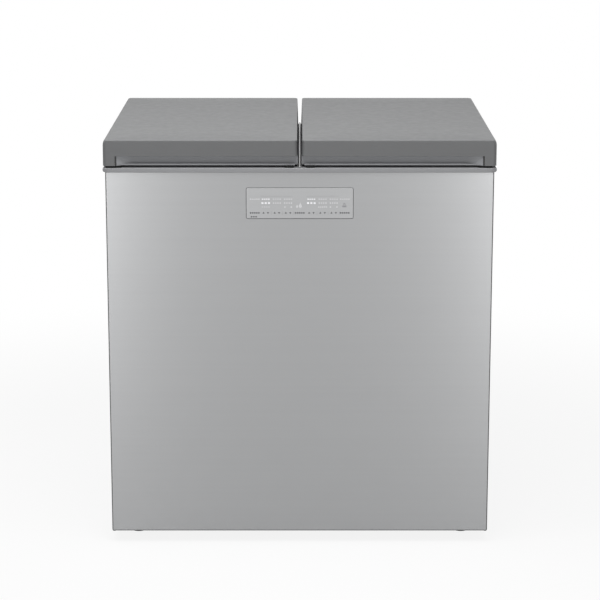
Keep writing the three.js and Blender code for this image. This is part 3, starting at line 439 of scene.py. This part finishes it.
def steel_with_painted_fold_shade(name, colour, roughness, **sockets):
    """Brushed sheet with painted shade along the folds of the front panel's sides and lower edge, in place of
    the darker reflection on the bends.
    """
    surface = brushed(name, colour, roughness, **sockets)
    low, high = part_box("front_panel")
    fold = 2.4 * MM
    depth = 3 * MM
    soft = 0.5 * MM
    apart = surface.tree.nodes.new("ShaderNodeSeparateXYZ")
    surface.tree.links.new(surface.place, apart.inputs[0])
    aside = combined(surface.tree, "ABSOLUTE", apart.outputs["X"], 0)
    at_side = surface.ranged(aside, 0, 1, high.x - fold - soft, high.x - fold)
    at_foot = surface.ranged(apart.outputs["Z"], 1, 0, low.z + fold, low.z + fold + soft)
    in_front = surface.ranged(apart.outputs["Y"], 1, 0, low.y + depth, low.y + depth + soft)
    fold_shade_mask = combined(surface.tree, "MAXIMUM", at_side, at_foot)
    # Painted shade: the folds' base colour is darkened to 0.35 of the sheet's, standing in for a dark
    # reflection.
    surface.overlaid(combined(surface.tree, "MULTIPLY", fold_shade_mask, in_front), shade(colour, 0.35))
    return surface.material


def moulded(name, colour, roughness, grain=0.012, **sockets):
    """Satin moulding: fine spark grain, broad gloss changes and a faint colour drift."""
    surface = Surface(name, colour, roughness, **sockets)
    surface.rough(surface.noise(even(60), 2), roughness - 0.03, roughness + 0.03)
    surface.tinted(surface.ranged(surface.noise(even(14), 3), 0, 1), shade(colour, 0.98))
    surface.bumped(surface.noise(even(1500), 2), grain * MM, 0.6)
    return surface.material


def painted(name, colour, roughness, metallic=0.0, **sockets):
    """Enamel on sheet: orange peel and light handling marks."""
    surface = Surface(name, colour, roughness, metallic, **sockets)
    surface.rough(surface.noise(even(14), 4), roughness - 0.05, roughness + 0.06)
    surface.tinted(surface.ranged(surface.noise(even(5), 2), 0, 1), shade(colour, 0.96))
    surface.bumped(surface.noise(even(420), 2), 0.02 * MM, 0.4)
    return surface.material


def galvanised(name, colour):
    surface = Surface(name, colour, 0.42, 0.75)
    spangle = surface.cells(even(160))
    bright = surface.tree.nodes.new("ShaderNodeSeparateColor")
    surface.tree.links.new(spangle.outputs["Color"], bright.inputs["Color"])
    surface.tinted(surface.ranged(bright.outputs[0], 0, 1, 0, 1), shade(colour, 0.72))
    surface.rough(bright.outputs[0], 0.32, 0.5)
    surface.bumped(surface.noise(even(260), 2), 0.02 * MM, 0.4)
    return surface.material


def plated(name, colour, roughness):
    """Zinc-plated or drawn steel with a cloudy passivated skin."""
    surface = Surface(name, colour, roughness, 0.9)
    clouds = surface.noise(even(70), 4)
    surface.tinted(surface.ranged(clouds, 0, 1), shade(colour, 0.8))
    surface.rough(clouds, roughness - 0.06, roughness + 0.1)
    surface.bumped(surface.noise(even(900), 2), 0.02 * MM, 0.4)
    return surface.material


def rubbery(name, colour, **sockets):
    surface = Surface(name, colour, 0.72, **sockets)
    surface.tinted(surface.ranged(surface.noise(even(30), 4), 0, 1), shade(colour, 1.35))
    surface.rough(surface.noise(even(60), 3), 0.62, 0.82)
    surface.bumped(surface.noise(even(1300), 3), 0.03 * MM, 0.6)
    return surface.material


def foamed(name, colour):
    surface = Surface(name, colour, 0.9)
    cells = surface.cells(even(500))
    surface.tinted(surface.ranged(surface.noise(even(12), 4), 0, 1), shade(colour, 0.8))
    surface.bumped(cells.outputs["Distance"], 0.4 * MM, 0.7)
    return surface.material


def copper(name, colour):
    surface = Surface(name, colour, 0.38, 0.95)
    stains = surface.noise(even(45), 5)
    surface.tinted(surface.ranged(stains, 0, 1), shade(colour, 0.45))
    surface.rough(stains, 0.28, 0.55)
    surface.bumped(surface.noise(even(700), 2), 0.02 * MM, 0.3)
    return surface.material


def lit(name, colour, strength):
    surface = Surface(name, colour, 0.4)
    surface.shader.inputs["Emission Color"].default_value = (*colour, 1)
    surface.shader.inputs["Emission Strength"].default_value = strength
    surface.rough(surface.noise(even(400), 2), 0.35, 0.45)
    return surface.material


def make_materials():
    return {
        "brushed_front": steel_with_painted_fold_shade("brushed_front", (0.37, 0.373, 0.378), 0.33, Anisotropic=0.75),
        "painted_sheet": painted("painted_sheet", (0.36, 0.365, 0.37), 0.42, 0.25),
        "galvanised_sheet": galvanised("galvanised_sheet", (0.46, 0.48, 0.5)),
        "frame_silver": moulded("frame_silver", (0.245, 0.247, 0.255), 0.6, 0.006, Metallic=0.2),
        "trim_gloss": brushed("trim_gloss", (0.22, 0.222, 0.227), 0.22, Coat_Weight=0.3).material,
        "tub_plastic": moulded("tub_plastic", (0.62, 0.64, 0.66), 0.38),
        "rigid_foam": foamed("rigid_foam", (0.68, 0.56, 0.25)),
        "copper_tube": copper("copper_tube", (0.62, 0.28, 0.14)),
        "window_film": brushed("window_film", (0.37, 0.373, 0.378), 0.32, Coat_Weight=0.4).material,
        "black_plastic": moulded("black_plastic", (0.02, 0.02, 0.022), 0.5),
        "circuit_board": moulded("circuit_board", (0.02, 0.11, 0.05), 0.4),
        "black_paint": painted("black_paint", (0.015, 0.015, 0.017), 0.35),
        "white_plastic": moulded("white_plastic", (0.72, 0.72, 0.71), 0.42),
        "zinc_steel": plated("zinc_steel", (0.5, 0.51, 0.52), 0.36),
        "spring_wire": plated("spring_wire", (0.22, 0.22, 0.23), 0.34),
        "lid_grey": moulded("lid_grey", (0.108, 0.11, 0.112), 0.48, 0.008, Specular_IOR_Level=0.5),
        "handle_grey": moulded("handle_grey", (0.268, 0.273, 0.286), 0.42),
        "seal_grey": rubbery("seal_grey", (0.3, 0.305, 0.31)),
        "wheel_rubber": rubbery("wheel_rubber", (0.02, 0.02, 0.02)),
        # Near-black, low-gloss rubber: partly the buffers' own colour, partly painted shadow of the gap under
        # the lids.
        "buffer_rubber": rubbery("buffer_rubber", (0.008, 0.008, 0.008), Specular_IOR_Level=0.2),
    }


# ---------------------------------------------------------------- sizes taken from the frame
JOINTS = {joint["name"]: joint for joint in frame["record"]["behaviour"]["joints"]}
HINGE_Y, HINGE_Z = JOINTS["lid_left_hinge"]["pos_m"][1:]


def hinge_places():
    """Middles of the four hinges, read from the brackets' plates."""
    low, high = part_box("hinge_bracket_right")
    outer = (low.x + high.x) / 2
    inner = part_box("hinge_bracket_centre")[1].x - (high.x - low.x) / 2
    return (-outer, -inner, inner, outer)


def tub_mouth():
    """Rounded rectangle of the right tub's inside, read from its rim."""
    low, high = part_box("inner_tub_right")
    rim = 10 * MM
    corner = 40 * MM
    return (low.x + rim, high.x - rim, low.y + rim, high.y - rim, corner)


HINGES = hinge_places()
TUB = tub_mouth()
PLUG_CORNER = 30 * MM
PLUG = (*inset(TUB, 8 * MM)[:4], PLUG_CORNER)
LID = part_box("lid_cover_right")
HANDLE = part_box("lid_handle_right")
WALL = 2.5 * MM
SEAM = 0.3 * MM
GRIP_END = HANDLE[1].x + 2.3 * MM
LID_EDGE = LID[1].z - 3.5 * MM
SHOULDER = 2 * MM
DRAFT = 2 * MM
SIDE = {"inset": 5 * MM, "height": 13 * MM}
ROOM = {"reach": 34 * MM, "front": HINGE_Y - 15 * MM, "top": HINGE_Z + 23 * MM}


# ---------------------------------------------------------------- lids
def side_inset(z):
    """Inset of a lid's outer side: upright below, rounded like a quarter of an ellipse above."""
    climb = min(max((z - LID_EDGE) / SIDE["height"] + 1, 0), 1)
    return SIDE["inset"] * (1 - math.sqrt(1 - climb ** 2))


def lid_stations():
    """(inset, outer side's inset, height) from the lid's foot over its shoulder to the crown."""
    low, high = LID
    wall_top = LID_EDGE - SHOULDER
    heights = [low.z] + [LID_EDGE - SIDE["height"] * share for share in (1, 0.8, 0.6, 0.45, 0.3)]
    walls = [(DRAFT * (z - low.z) / (wall_top - low.z), z) for z in heights]
    steps = 6
    for i in range(steps + 1):
        angle = math.pi / 2 * i / steps
        walls.append((DRAFT + SHOULDER * (1 - math.cos(angle)), wall_top + SHOULDER * math.sin(angle)))
    stations = [(grow, side_inset(z), z) for grow, z in walls]
    reach = 120 * MM
    crown_steps = 9
    for i in range(1, crown_steps):
        run = reach * i / crown_steps
        height = LID_EDGE + (high.z - LID_EDGE) * (1 - (1 - run / reach) ** 2)
        stations.append((DRAFT + SHOULDER + run, SIDE["inset"] + run, height))
    return stations


def lid_rings(shrink):
    """(rectangle, height) of the right lid's outer form; shrink gives its inside."""
    low, high = LID
    radius = max(9 * MM - shrink, 3 * MM)
    made = []
    for grow, outer, z in lid_stations():
        x0, x1 = low.x + grow + shrink, high.x - outer - shrink
        y0, y1 = low.y + grow + shrink, high.y - grow - shrink
        made.append(((x0, x1, y0, y1, radius), z - shrink))
    return made


def hinge_rooms(side, grow=0.0, back=0.4, low=0.9):
    """Boxes of the rooms round this lid's hinges, or of the walls that close them."""
    reach = ROOM["reach"] + grow
    boxes = []
    for x in HINGES:
        if x * side > 0:
            boxes.append(((x - reach, x + reach), (ROOM["front"] - grow, back), (low, ROOM["top"] + grow)))
    return boxes


def make_lid_cover(hand, side, material):
    form = Form()
    outer = [form.ring(mirrored(ring(rect, z), side)) for rect, z in lid_rings(0)]
    inner_rings = lid_rings(WALL)
    inner_rings[0] = (inner_rings[0][0], LID[0].z)
    inner = [form.ring(mirrored(ring(rect, z), side)) for rect, z in inner_rings]
    for stack in (outer, inner):
        for one, two in zip(stack, stack[1:]):
            form.skin(one, two)
    middle = Vector(((LID[0].x + LID[1].x) / 2 * side, 0, LID[1].z))
    form.pole(outer[-1], middle)
    form.pole(inner[-1], middle - Vector((0, 0, WALL)))
    form.skin(outer[0], inner[0])
    piece = form.build(f"lid_shell_{hand}")
    within = 2 * MM
    carve(piece, hinge_rooms(side, WALL, LID[1].y - within, LID[0].z + within + SEAM), "UNION")
    past_middle, ahead, below = -0.01, -0.4, 0.9
    span = sorted((past_middle * side, GRIP_END * side))
    grip = (span, (ahead, HANDLE[1].y + 0.5 * MM), (below, HANDLE[1].z - WALL - SEAM))
    carve(piece, [grip] + hinge_rooms(side))
    piece.data.shade_smooth()
    piece.data.set_sharp_from_angle(angle=math.radians(35))
    bevelled(piece, 0.5 * MM, 40)
    return stand_for(piece, f"lid_cover_{hand}", material)


def make_gasket(hand, side, material):
    """Soft seal: foot, bellows folds and a rounded magnet chamber that faces the frame."""
    low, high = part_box("lid_gasket_right")
    width = 14 * MM
    corner = 50 * MM
    middle = (low.x + width / 2, high.x - width / 2, low.y + width / 2, high.y - width / 2, corner)
    deep = high.z - low.z
    section = [
        (-7.0, 0.45), (-6.6, 0.12), (-5.6, 0.0), (-1.5, 0.0), (-0.6, 0.2), (0.6, 0.2), (1.5, 0.0), (5.6, 0.0),
        (6.6, 0.12), (7.0, 0.45), (6.3, 0.62), (5.2, 0.68), (5.2, 0.78), (6.4, 0.84), (6.4, 1.0), (-6.4, 1.0),
        (-6.4, 0.84), (-5.2, 0.78), (-5.2, 0.68), (-6.3, 0.62),
    ]
    form = Form()
    rings = []
    for across, height in section:
        rings.append(form.ring(mirrored(ring(inset(middle, across * MM), low.z + deep * height, 10), side)))
    for one, two in zip(rings, rings[1:] + rings[:1]):
        form.skin(one, two)
    return stand_for(weighted(form.build(f"lid_seal_{hand}")), f"lid_gasket_{hand}", material)


def liner_outline(low, high, z):
    """Flange of the right lid's underside: it follows the finger recess and its slanted end."""
    wall = HANDLE[1].y + 2 * SEAM
    facet = HANDLE[1].x - 39 * MM
    end = HANDLE[0].y + WALL + 2 * SEAM
    step = HANDLE[1].x + 2 * SEAM
    front = [(low.x, wall), (facet, wall), (HANDLE[1].x, end), (step, end), (step, low.y)]
    points = [Vector((x, y, z)) for x, y in front]
    steps = 6
    three_corners = 3 * (steps + 1)
    return points + ring((low.x, high.x, low.y, high.y, 7 * MM), z, steps)[:three_corners]


def make_liner(hand, side, material):
    """Formed underside: flange, step and plug with a shallow raised field."""
    low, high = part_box("lid_liner_right")
    sheet = 2 * MM
    form = Form()
    top = form.ring(mirrored(liner_outline(low, high, high.z), side))
    bottom = form.ring(mirrored(liner_outline(low, high, high.z - sheet), side))
    form.skin(top, bottom)
    form.cap([top])
    sections = []
    for i in range(5):
        angle = math.pi / 2 * i / 4
        grow = sheet * (math.sin(angle) - 1)
        sections.append((inset(PLUG, grow), high.z - sheet * (2 - math.cos(angle))))
    draft = 1.5 * MM
    soft = 6 * MM
    for i in range(7):
        angle = math.pi / 2 * i / 6
        grow = draft + soft * (1 - math.cos(angle))
        sections.append((inset(PLUG, grow), low.z + soft * (1 - math.sin(angle))))
    field = inset(PLUG, 34 * MM)
    for grow, rise in ((0, 0), (1.5, 0.5), (4, 2.2)):
        sections.append((inset(field, grow * MM), low.z + rise * MM))
    rings = [form.ring(mirrored(ring(rect, z), side)) for rect, z in sections]
    for one, two in zip(rings, rings[1:]):
        form.skin(one, two)
    form.cap([bottom, rings[0]])
    form.cap([rings[-1]])
    piece = form.build(f"lid_underside_{hand}")
    carve(piece, hinge_rooms(side))
    piece.data.shade_smooth()
    piece.data.set_sharp_from_angle(angle=math.radians(35))
    return stand_for(weighted(piece), f"lid_liner_{hand}", material)


# Ends of the buffers in X, in millimetres from the middle.
BUFFERS = {"left": ((14, 35), (419, 457)), "right": ((15, 36), (420, 453))}


def make_buffers_and_gap_shade(hand, side, material):
    """Rubber buffers under the lid's front corners, which rest on the frame; their near-black rubber also
    stands in as painted shadow in the gap under the lid.
    """
    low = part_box("top_frame")[1].z + 0.2 * MM
    top = LID[0].z + 0.2 * MM
    soft = 1.2 * MM
    corner = 3 * MM
    front = LID[0].y + 5.5 * MM
    back = front + 10 * MM
    for index, (start, end) in enumerate(BUFFERS[hand]):
        outline = (start * MM, end * MM, front, back, corner)
        form = Form()
        sections = [(outline, top), (outline, low + soft)]
        for i in range(1, 4):
            angle = math.pi / 2 * i / 3
            rect = inset(outline, soft * (1 - math.cos(angle)))
            sections.append((rect, low + soft * (1 - math.sin(angle))))
        rings = [form.ring(mirrored(ring(rect, z, 5), side)) for rect, z in sections]
        for one, two in zip(rings, rings[1:]):
            form.skin(one, two)
        form.cap([rings[0]])
        form.cap([rings[-1]])
        add_trim(form.build(f"lid_buffer_shade_{hand}_{index + 1}"), f"lid_{hand}", material)


def make_seam_shadow_strip(hand, side, material):
    """Black strip in the seam between the grip's slanted end and the lid's front: painted shadow of the slot
    there.
    """
    front, back = LID[0].y + 1.2 * MM, HANDLE[0].y - 0.1 * MM
    outline = (GRIP_END - 3.6 * MM, GRIP_END - 0.2 * MM, front, back, 0.5 * MM)
    low = LID[0].z + 0.4 * MM
    high = HANDLE[1].z - WALL - 0.6 * MM
    soft = 0.3 * MM
    levels = ((soft, low), (0, low + soft), (0, high - soft), (soft, high))
    form = Form()
    rings = [form.ring(mirrored(ring(inset(outline, grow), z, 4), side)) for grow, z in levels]
    for one, two in zip(rings, rings[1:]):
        form.skin(one, two)
    form.cap([rings[0]])
    form.cap([rings[-1]])
    add_trim(form.build(f"grip_seam_shadow_{hand}"), f"lid_{hand}", material)


def make_lids(materials):
    for hand, side in HANDS:
        make_lid_cover(hand, side, materials["lid_grey"])
        stand_for(refined(f"lid_handle_{hand}", 0.6 * MM), f"lid_handle_{hand}", materials["handle_grey"])
        make_liner(hand, side, materials["white_plastic"])
        make_gasket(hand, side, materials["seal_grey"])
        make_buffers_and_gap_shade(hand, side, materials["buffer_rubber"])
        make_seam_shadow_strip(hand, side, materials["wheel_rubber"])


# ---------------------------------------------------------------- cabinet
# Rounding of the frame's sides, its back and both mouths.
NOSE = 4 * MM


def rounding(nose, depth):
    """Inset of a rounded edge at a depth below or above its face."""
    return nose - math.sqrt(max(nose ** 2 - max(nose - depth, 0) ** 2, 0))


def rim_rings(rect, direction, front, low, high):
    """Rings round one edge of the frame: round at the sides, with its own rounding in front."""
    x0, x1, y0, y1, radius = rect
    depths = [NOSE * share for share in (0, 0.04, 0.12, 0.25, 0.4, 0.6, 0.8, 1)]
    levels = [(depth, low + depth) for depth in depths] + [(depth, high - depth) for depth in depths[::-1]]
    rings = []
    for depth, z in levels:
        aside = rounding(NOSE, depth) * direction
        ahead = rounding(front, depth) * direction
        corner = max(radius - aside, MM)
        rings.append(ring((x0 + aside, x1 - aside, y0 + ahead, y1 - aside, corner), z, 12))
    return rings


def make_top_frame(material):
    """Frame round both tubs: a nearly upright front face, wide roundings at the mouths."""
    low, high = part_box("top_frame")
    corner = 16 * MM
    front_nose = 1.2 * MM
    outer = (low.x, high.x, low.y, high.y, corner)
    right = inset(TUB, -NOSE)
    left = (-right[1], -right[0], *right[2:])
    form = Form()
    loops = []
    for rect, direction, front in ((outer, 1, front_nose), (left, -1, NOSE), (right, -1, NOSE)):
        rings = [form.ring(points) for points in rim_rings(rect, direction, front, low.z, high.z)]
        for one, two in zip(rings, rings[1:]):
            form.skin(one, two)
        loops.append(rings)
    form.cap([rings[0] for rings in loops])
    form.cap([rings[-1] for rings in loops])
    stand_for(weighted(form.build("top_rim")), "top_frame", material)


def make_tub(hand, side, material):
    """Inner tub: rolled rim, drawn walls, rounded floor with three container rests."""
    inner = TUB
    low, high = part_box(f"inner_tub_{hand}")
    sheet = 2 * MM
    floor = low.z + sheet
    rim = inset(inner, -10 * MM)
    roll = 1.5 * MM
    form = Form()
    sections = [(rim, high.z - sheet), (rim, high.z)]
    for i in range(5):
        angle = math.pi / 2 * i / 4
        grow = roll * (math.sin(angle) - 1)
        sections.append((inset(inner, grow), high.z - roll * (1 - math.cos(angle))))
    wall_levels = (0.85, 0.75, 0.65, 0.55, 0.47)
    sections += [(inner, z) for z in wall_levels]
    soft = 22 * MM
    for i in range(9):
        angle = math.pi / 2 * i / 8
        sections.append((inset(inner, soft * (1 - math.cos(angle))), floor + soft * (1 - math.sin(angle))))
    rings = [form.ring(mirrored(ring(rect, z, 12), side)) for rect, z in sections]
    for one, two in zip(rings, rings[1:]):
        form.skin(one, two)
    form.cap([rings[-1]])
    heel, base_inset = 24 * MM, 20 * MM
    around = inset(inner, -sheet)
    outer = [form.ring(mirrored(ring(around, z, 12), side)) for z in (high.z - sheet, low.z + heel)]
    form.skin(rings[0], outer[0])
    form.skin(outer[0], outer[1])
    base = form.ring(mirrored(ring(inset(inner, base_inset), low.z, 12), side))
    form.skin(outer[1], base)
    form.cap([base])
    section = [(-12, 0), (-9.5, 3.2), (-7, 4), (7, 4), (9.5, 3.2), (12, 0)]
    rests = (-0.205, -0.015, 0.175)
    margin = 0.04
    foot = floor - 0.2 * MM
    for y in rests:
        ends = []
        for x in (inner[0] + margin, inner[1] - margin):
            points = [Vector((x, y + across * MM, foot + up * MM)) for across, up in section]
            ends.append(form.ring(mirrored(points, side)))
        form.skin(ends[0], ends[1])
        form.cap([ends[0]])
        form.cap([ends[1]])
    stand_for(weighted(form.build(f"tub_shell_{hand}")), f"inner_tub_{hand}", material)


def make_cabinet(materials):
    make_top_frame(materials["frame_silver"])
    for hand, side in HANDS:
        make_tub(hand, side, materials["tub_plastic"])
        stand_for(refined(f"side_panel_{hand}", 0.4 * MM), f"side_panel_{hand}", materials["painted_sheet"])
    stand_for(refined("front_panel", 0.25 * MM), "front_panel", materials["brushed_front"])
    stand_for(refined("back_panel", 0.3 * MM), "back_panel", materials["painted_sheet"])
    stand_for(refined("machine_cover", 0.25 * MM), "machine_cover", materials["painted_sheet"])
    stand_for(refined("centre_trim", 0.5 * MM), "centre_trim", materials["trim_gloss"])


# ---------------------------------------------------------------- hinges
def make_spring(index, x, material):
    """Torsion spring: upper leg towards the lid, round coils, lower leg on the bracket."""
    hand = 1 if x > 0 else -1
    radius = 7 * MM
    wire = 1.15 * MM
    turns = 4
    pitch = 4 * MM
    per_turn = 32
    upper_leg, lower_leg = 0.019, 0.03
    sides = 10
    start = x + hand * 4 * MM
    points = [Vector((start, HINGE_Y - radius, HINGE_Z + upper_leg * share)) for share in (1, 0.66, 0.33)]
    for i in range(turns * per_turn + 1):
        angle = math.pi + 2 * math.pi * i / per_turn
        along = start + hand * pitch * i / per_turn
        points.append(Vector((along, HINGE_Y + radius * math.cos(angle), HINGE_Z + radius * math.sin(angle))))
    end = start + hand * pitch * turns
    points += [Vector((end, HINGE_Y - radius, HINGE_Z - lower_leg * share)) for share in (0.33, 0.66, 1)]
    form = Form()
    last = None
    for i, point in enumerate(points):
        ahead = points[min(i + 1, len(points) - 1)] - points[max(i - 1, 0)]
        forward = ahead.normalized()
        across = Vector((1, 0, 0))
        across = (across - forward * across.dot(forward)).normalized()
        up = forward.cross(across)
        loop = []
        for j in range(sides):
            angle = 2 * math.pi * j / sides
            loop.append(point + wire * (math.cos(angle) * across + math.sin(angle) * up))
        current = form.ring(loop)
        if last:
            form.skin(last, current)
        else:
            form.cap([current])
        last = current
    form.cap([last])
    piece = form.build(f"torsion_spring_{index}", 60)
    piece.data.materials.append(material)
    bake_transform(piece)
    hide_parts(f"hinge_spring_{index}")


def make_pin(index, x, material):
    """Hinge pin with a chamfered end and a rounded head."""
    hand = 1 if x > 0 else -1
    half = 30 * MM
    pin = 3.95 * MM
    tip = 0.1 * MM
    profile = [(tip, -half), (pin - 0.8 * MM, -half), (pin, -half + 0.8 * MM), (pin, half - 1.9 * MM)]
    profile += [(6.2 * MM, half - 1.9 * MM), (6.4 * MM, half - 1.2 * MM), (5.6 * MM, half + 0.9 * MM)]
    profile += [(3 * MM, half + 1.5 * MM), (tip, half + 1.5 * MM)]
    profile = [(radius, height * hand) for radius, height in profile]
    piece = turned(f"pin_{index}", profile, "X", (x, HINGE_Y, HINGE_Z), 32)
    stand_for(piece, f"hinge_pin_{index}", material)


def make_hinges(materials):
    for name in ("left", "centre", "right"):
        bracket = f"hinge_bracket_{name}"
        stand_for(refined(bracket, 0.4 * MM), bracket, materials["zinc_steel"])
    for index, x in enumerate(HINGES, 1):
        stand_for(refined(f"hinge_arm_{index}", 0.3 * MM), f"hinge_arm_{index}", materials["zinc_steel"])
        make_pin(index, x, materials["zinc_steel"])
        make_spring(index, x, materials["spring_wire"])


# ---------------------------------------------------------------- control display
def flat_marks(name, shapes, material):
    """Thin printed or lit marks on the window: outlines of (x, z) points in millimetres from its middle."""
    low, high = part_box("display_window")
    middle = (low + high) / 2
    thick = 0.06 * MM
    form = Form()
    for outline in shapes:
        loops = []
        for y in (low.y, low.y - thick):
            points = [Vector((middle.x + x * MM, y, middle.z + z * MM)) for x, z in outline]
            loops.append(form.ring(points))
        form.skin(loops[0], loops[1])
        form.cap([loops[1]])
        form.cap([loops[0]])
    add_trim(form.build(name), "cabinet", material)


def bar(x, z, width, height):
    return [(x - width / 2, z - height / 2), (x + width / 2, z - height / 2),
            (x + width / 2, z + height / 2), (x - width / 2, z + height / 2)]


def dashes(x, z, count, width, height, gap):
    """A row of short bars centred on x."""
    pitch = width + gap
    return [bar(x + pitch * (i - (count - 1) / 2), z, width, height) for i in range(count)]


def arrow(x, z, size, up):
    return [(x - size, z - size * 0.6 * up), (x + size, z - size * 0.6 * up), (x, z + size * up)]


def drop(x, z, size):
    """A plain drop: round below, pointed above."""
    points = []
    for i in range(13):
        angle = math.radians(150 + 20 * i)
        points.append((x + size * math.cos(angle), z + size * math.sin(angle)))
    return points + [(x, z + size * 2.2)]


def padlock(x, z, size):
    body = bar(x, z - size * 0.45, size * 1.5, size * 0.6)
    outer = []
    inner = []
    for i in range(9):
        angle = math.pi * i / 8
        outer.append((x + size * 0.45 * math.cos(angle), z + size * 0.05 + size * 0.62 * math.sin(angle)))
        inner.append((x + size * 0.22 * math.cos(angle), z + size * 0.05 + size * 0.3 * math.sin(angle)))
    return [body, outer + inner[::-1]]


def make_window(material):
    """Control window: flat face with a rounded rim."""
    low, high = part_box("display_window")
    outline = (low.x, high.x, low.z, high.z, 3.5 * MM)
    rim = 0.5 * MM
    form = Form()
    stack = [(0, high.y), (0, low.y + rim)]
    for i in range(1, 5):
        angle = math.pi / 2 * i / 4
        stack.append((rim * (1 - math.cos(angle)), low.y + rim * (1 - math.sin(angle))))
    rings = []
    for grow, y in stack:
        rings.append(form.ring([Vector((point.x, y, point.y)) for point in ring(inset(outline, grow), 0, 6)]))
    for one, two in zip(rings, rings[1:]):
        form.skin(one, two)
    form.cap([rings[0]])
    form.cap([rings[-1]])
    stand_for(weighted(form.build("window_face")), "display_window", material)


def make_display(materials):
    make_window(materials["window_film"])
    bright = lit("lamp_bright", (0.72, 0.72, 0.74), 0.2)
    dim = lit("lamp_dim", (0.5, 0.5, 0.51), 0.14)
    ink = moulded("print_ink", (0.05, 0.05, 0.055), 0.45)
    pale_ink = moulded("print_pale", (0.25, 0.25, 0.26), 0.45)
    near, middle, far = 27.5, 54.0, 80.3
    label = 106.3
    rows = (10.0, 0.6, -8.8)
    touch = -23.0
    lamps = []
    faint = []
    prints = []
    lines = []
    for side in (-1, 1):
        for column in (near, middle, far):
            x = side * column
            if column == (far if side < 0 else near):
                lamps += dashes(x, rows[0], 4, 3.4, 2.5, 1.6)
                lamps += dashes(x, rows[1], 3, 4.8, 4.0, 2.9)
            else:
                faint += dashes(x, rows[0], 4, 3.2, 2.6, 2.1)
                faint += dashes(x, rows[1], 4, 2.8, 3.4, 2.5)
            prints.append(arrow(x - 5.2, touch, 2.6, 1))
            prints.append(arrow(x + 5.2, touch, 2.6, -1))
            lines.append(bar(x + 13.2, touch, 0.6, 8.5))
        lines.append(bar(side * middle, 17.0, 76.0, 0.6))
        faint += dashes(side * label, rows[0], 5, 3.2, 2.8, 1.7)
        prints += dashes(side * label, touch, 5, 3.0, 3.6, 1.9)
    prints += dashes(0, touch, 5, 3.0, 3.6, 1.9)
    prints += dashes(-108.5, -32.3, 3, 3.6, 3.0, 1.8)
    lines += padlock(105.5, -4.0, 7.0)
    faint += dashes(-far, rows[2], 4, 2.4, 2.4, 2.9) + dashes(-near, rows[2], 2, 3.4, 3.0, 12.0)
    faint += dashes(middle, rows[2], 5, 2.8, 2.8, 1.6) + dashes(far, rows[2], 2, 3.4, 3.0, 12.0)
    faint += [drop(1.5, -7.0, 4.0), drop(-6.2, -8.4, 2.4)]
    flat_marks("lamps_bright", lamps, bright)
    flat_marks("lamps_dim", faint, dim)
    flat_marks("prints_dark", prints, ink)
    flat_marks("prints_lines", lines, pale_ink)


# ---------------------------------------------------------------- supports and rear details
def in_metres(profile):
    return [(radius * MM, height * MM) for radius, height in profile]


def make_foot(hand, material):
    """Levelling foot: round pad, collar and stem, turned as one."""
    low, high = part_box(f"levelling_foot_{hand}")
    place = ((low.x + high.x) / 2, (low.y + high.y) / 2, 0)
    pad = [(0.1, 0), (16.5, 0), (18.6, 0.5), (19.8, 2), (20, 3.4), (19.4, 5), (10.5, 8.6), (10.2, 9.4)]
    stem = [(9, 9.6), (9, 15), (4.6, 15.4), (3.9, 16), (3.9, 54), (3.2, 55), (0.1, 55)]
    piece = turned(f"foot_{hand}", in_metres(pad + stem), "Z", place)
    stand_for(piece, f"levelling_foot_{hand}", material)


def make_wheel(hand, material):
    """Caster wheel with a crowned tread, whose section is the same on both sides."""
    half = [(3.3, 10), (10.6, 10), (11.2, 9.5), (12.1, 8.6), (12.8, 7.2), (13, 5)]
    section = [(radius, -height) for radius, height in half] + half[::-1] + [(3.3, -10)]
    piece = turned(f"wheel_{hand}", in_metres(section), "X", JOINTS[f"caster_{hand}_roll"]["pos_m"])
    stand_for(piece, f"caster_wheel_{hand}", material)


def make_supports(materials):
    for hand, _ in HANDS:
        make_foot(hand, materials["black_plastic"])
        make_wheel(hand, materials["wheel_rubber"])
        fork = f"caster_fork_{hand}"
        stand_for(refined(fork, 0.4 * MM), fork, materials["galvanised_sheet"])


def screw_places():
    """Middles of the screws on the back panel, the machine cover and the hinge brackets."""
    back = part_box("back_panel")[1].y
    above_seam, below_seam = 0.366, 0.335
    side = 0.445
    places = [(x, back, z) for x in (-0.44, -0.22, 0.0, 0.22, 0.44) for z in (above_seam, below_seam)]
    places += [(x, back, z) for x in (-side, side) for z in (0.5, 0.65, 0.8, 0.06, 0.2)]
    plate = 3 * MM
    margin, rise = 14 * MM, 13 * MM
    for name in ("left", "centre", "right"):
        low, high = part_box(f"hinge_bracket_{name}")
        for x in (low.x + margin, high.x - margin):
            places.append((x, low.y + plate, low.z + rise))
    return places


def make_screws(materials):
    """Washer-head screws with a sunk middle, all in one mesh."""
    head = ((5.2, 0.0), (5.2, 0.8), (4.0, 1.2), (3.8, 2.6), (3.0, 3.2), (1.6, 3.2), (1.4, 2.2))
    steps = 18
    form = Form()
    for x, y, z in screw_places():
        last = None
        for radius, reach in head:
            points = []
            for i in range(steps):
                angle = 2 * math.pi * i / steps
                across, up = radius * MM * math.cos(angle), radius * MM * math.sin(angle)
                points.append(Vector((x + across, y + reach * MM, z + up)))
            current = form.ring(points)
            if last:
                form.skin(last, current)
            last = current
        form.cap([last])
    add_trim(form.build("panel_screws"), "cabinet", materials["zinc_steel"])


def dress_nodes(materials):
    """Every CAD node that stays visible gets its slot's material."""
    for node, piece in frame["nodes"].items():
        piece.data.materials.clear()
        piece.data.materials.append(materials[SLOTS[node]])


make_camera()
make_world()
make_floor()
make_lamps()
finishes = make_materials()
dress_nodes(finishes)
make_lids(finishes)
make_cabinet(finishes)
make_hinges(finishes)
make_display(finishes)
make_supports(finishes)
make_screws(finishes)
